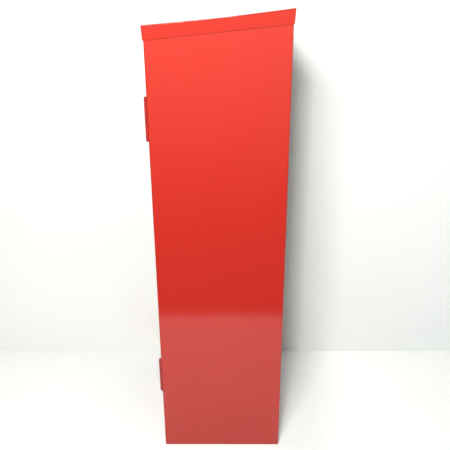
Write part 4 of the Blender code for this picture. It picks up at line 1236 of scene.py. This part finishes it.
# on the keepers' far faces from the door
for level, x, bottom, top in KEEPERS:
    z, side = (top, 1) if level == "upper" else (bottom, -1)
    rivets("keeper_screws_" + level, [(x + dx, -157.5, z) for dx in (-11.3, 11.3)],
           2, side, 2.2, 0.9, "zinc", "cabinet")

settle()
for piece in PIECES:
    if piece.body == "blend":
        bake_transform(piece.ob)

# ================================================================ stage, in metres
WALL_X = -0.292
CAMERA_PLACE = Vector((1.4322640, 0.0412015, 1.1575732))
FLOOR_END = 0.968        # reflections don't see the floor beyond this X
BOUNCE = rgb(0.76, 0.79, 0.785)          # what floor and wall throw back as diffuse light


def floor_material():
    """Pale sheet, brighter as the camera sees it than as it lights the box, with painted light
    towards the wall and a painted shadow beside the box.
    """
    tree = new_shader("stage_floor")
    position = tree.node("ShaderNodeNewGeometry").outputs["Position"]
    soft = tree.noise(scale=3.0, detail=3.0, vector=position)
    light_path = tree.node("ShaderNodeLightPath")
    colour = tree.mix(soft, rgb(0.950, 0.975, 0.935), rgb(0.970, 0.995, 0.955))
    # for the camera: painted light, brighter towards the wall
    at = tree.split(position)
    painted_light_to_wall = tree.ramp(at.outputs[0], start=0.60, end=-0.29)
    seen = tree.mix(painted_light_to_wall, rgb(0.985, 1.00, 0.965), rgb(1.075, 1.075, 1.045))
    # painted shadow: greyer in a band beside the box at +Y, where its shadow falls
    beside = tree.times(tree.ramp(at.outputs[1], start=0.14, end=0.19),
                        tree.ramp(at.outputs[1], start=0.46, end=0.26))
    seen = tree.mix(beside, seen, rgb(0.90, 0.92, 0.895))
    colour = tree.mix(light_path.outputs["Is Camera Ray"], colour, seen)
    colour = tree.mix(light_path.outputs["Is Diffuse Ray"], colour, BOUNCE)
    solid = tree.node("ShaderNodeBsdfPrincipled", Base_Color=colour, Roughness=0.55,
                      Specular_IOR_Level=0.25)
    x = tree.split(position).outputs[0]
    beyond = tree.ramp(x, start=FLOOR_END - 0.01, end=FLOOR_END + 0.01)
    hidden = tree.times(beyond, light_path.outputs["Is Glossy Ray"])
    clear = tree.node("ShaderNodeBsdfTransparent")
    return tree.surface(tree.mix_shaders(hidden, solid, clear))


def wall_material():
    """Pale wall with painted light towards +Y and low down towards -Y, and faint darker blotches
    low down; clear to a camera standing behind it.
    """
    tree = new_shader("stage_wall")
    position = tree.node("ShaderNodeNewGeometry").outputs["Position"]
    soft = tree.noise(scale=2.0, detail=3.0, vector=position)
    blotch_noise = tree.noise(scale=5.0, detail=4.0, distort=1.0, vector=position)
    at = tree.split(position)
    y, z = at.outputs[1], at.outputs[2]
    colour = tree.mix(soft, rgb(0.868, 0.885, 0.855), rgb(0.893, 0.910, 0.880))
    # painted light: lighter towards +Y, away from the box
    colour = tree.mix(tree.ramp(y, start=0.25, end=1.1), colour, rgb(0.930, 0.950, 0.930))
    # painted light: lighter and warmer low down towards -Y
    painted_light_low = tree.times(tree.ramp(z, start=0.62, end=0.10),
                            tree.ramp(y, start=0.25, end=-0.05))
    colour = tree.mix(painted_light_low, colour, rgb(0.945, 0.945, 0.905))
    # faint darker blotches low down
    low = tree.ramp(z, start=0.55, end=0.0)
    blotch_amount = tree.times(tree.times(tree.ramp(blotch_noise, start=0.52, end=0.70), low), 0.10)
    colour = tree.mix(blotch_amount, colour, rgb(0.72, 0.72, 0.70))
    light_path = tree.node("ShaderNodeLightPath")
    colour = tree.mix(light_path.outputs["Is Diffuse Ray"], colour, BOUNCE)
    solid = tree.node("ShaderNodeBsdfDiffuse", Color=colour, Roughness=0.5)
    camera_x = tree.split(tree.camera_place()).outputs[0]
    hidden = tree.math("LESS_THAN", camera_x, WALL_X)
    clear = tree.node("ShaderNodeBsdfTransparent")
    return tree.surface(tree.mix_shaders(hidden, solid, clear))


def stage_sheet(name, corners, material):
    mesh = bpy.data.meshes.new(name)
    mesh.from_pydata(corners, [], [tuple(range(len(corners)))])
    mesh.materials.append(material)
    add_object(name, mesh)


REACH = 12.0             # how far the floor and wall extend
stage_sheet("stage_floor", [(-REACH, -REACH, 0.0), (REACH, -REACH, 0.0), (REACH, REACH, 0.0),
                            (-REACH, REACH, 0.0)], floor_material())
stage_sheet("stage_wall", [(WALL_X, -REACH, -0.01), (WALL_X, REACH, -0.01), (WALL_X, REACH, 8.0),
                           (WALL_X, -REACH, 8.0)], wall_material())


def build_world():
    """The room: nearly dark for the main camera, fuller for a camera elsewhere.

    That way no side of the box is left in the dark."""
    world = bpy.data.worlds.new("stage_world")
    bpy.context.scene.world = world
    tree = Shader(world)
    moved = tree.node("ShaderNodeVectorMath", {"operation": "DISTANCE"}, i0=tree.camera_place(),
                      i1=tuple(CAMERA_PLACE)).outputs["Value"]
    away = tree.ramp(moved, start=0.15, end=0.60)
    # Incoming points back along the ray, so its Z is negative for rays going up
    incoming = tree.split(tree.node("ShaderNodeNewGeometry").outputs["Incoming"])
    down = incoming.outputs[2]
    turn = tree.math("ARCTAN2", incoming.outputs[1], incoming.outputs[0])
    # what reflections see: a base level, a glow from the horizon up that dims higher
    horizon = tree.lerp(away, 1.4, 0.34)
    room = tree.plus(tree.times(tree.ramp(down, start=0.39, end=-0.20), horizon), 0.03)
    room = tree.times(room, tree.ramp(down, start=-0.18, end=-0.42, low=1.0, high=0.42))
    # a bright ceiling, and three bright patches round the room between it and the horizon
    ceiling = tree.ramp(down, start=-0.74, end=-0.92)
    thirds = tree.math("SINE", tree.math("MULTIPLY_ADD", turn, 3.0, i2=0.9))
    belt = tree.times(tree.ramp(down, start=-0.16, end=-0.24),
                      tree.ramp(down, start=-0.70, end=-0.60))
    patches = tree.times(tree.ramp(thirds, start=0.25, end=0.62), belt)
    room = tree.plus(room, tree.plus(tree.times(ceiling, 0.55), tree.times(patches, 1.3)))
    light_path = tree.node("ShaderNodeLightPath")
    diffuse = tree.node("ShaderNodeBackground", Color=rgb(1.0, 0.995, 0.985),
                        Strength=tree.lerp(away, 0.02, 0.50))
    tint = tree.mix(away, rgb(1.0, 0.97, 0.76), rgb(1.0, 0.985, 0.94))
    glossy = tree.node("ShaderNodeBackground", Color=tint, Strength=room)
    seen = tree.node("ShaderNodeBackground", Color=rgb(1.0, 1.0, 1.0), Strength=0.95)
    shader = tree.mix_shaders(light_path.outputs["Is Glossy Ray"], diffuse, glossy)
    shader = tree.mix_shaders(light_path.outputs["Is Camera Ray"], shader, seen)
    tree.node("ShaderNodeOutputWorld", Surface=shader)


build_world()


def area_light(name, place, target, size, power, glossy=True):
    """A rectangular lamp aimed at the target; glossy says whether reflections show it."""
    light = bpy.data.lights.new(name, "AREA")
    light.shape = "RECTANGLE"
    light.size, light.size_y = size
    light.energy = power
    ob = add_object(name, light)
    ob.location = place
    ob.rotation_mode = "QUATERNION"
    ob.rotation_quaternion = (Vector(target) - Vector(place)).to_track_quat("-Z", "Y")
    ob.visible_glossy = glossy
    ob.visible_camera = False


area_light("key", place=(1.60, -0.092, 1.73), target=(0.1, 0.08, 0.70), size=(0.20, 0.24),
           power=24.6)
area_light("key_wide", place=(1.60, -0.363, 1.825), target=(0.1, 0.08, 0.70), size=(0.42, 0.40),
           power=25.6)
area_light("top", place=(0.6, 0.5, 2.9), target=(0.5, 0.3, 0.0), size=(1.4, 1.4), power=17.0,
           glossy=False)
area_light("fill_back", place=(-2.4, 1.6, 2.4), target=(0.0, 0.0, 0.7), size=(1.6, 1.6),
           power=26.0, glossy=False)

# camera: looks towards -X and down; angles in radians, lens and sensor in millimetres
YAW, PITCH, ROLL = 0.0097475, 0.3508213, -0.0057189


def add_camera():
    forward = Vector((-math.cos(PITCH) * math.cos(YAW), -math.cos(PITCH) * math.sin(YAW),
                      -math.sin(PITCH)))
    level = forward.cross(Vector((0, 0, 1))).normalized()
    upright = level.cross(forward)
    cosine, sine = math.cos(ROLL), math.sin(ROLL)
    right, up = level * cosine + upright * sine, upright * cosine - level * sine
    data = bpy.data.cameras.new("camera")
    data.sensor_width = 36.0
    data.lens = 41.144
    data.clip_start, data.clip_end = 0.02, 40.0
    camera = add_object("camera", data)
    axes = Matrix((right, up, -forward)).transposed()
    camera.matrix_world = Matrix.Translation(CAMERA_PLACE) @ axes.to_4x4()
    bpy.context.scene.camera = camera


add_camera()
view = bpy.context.scene.view_settings
view.view_transform = "Standard"
view.look = "None"
view.exposure = 0.0
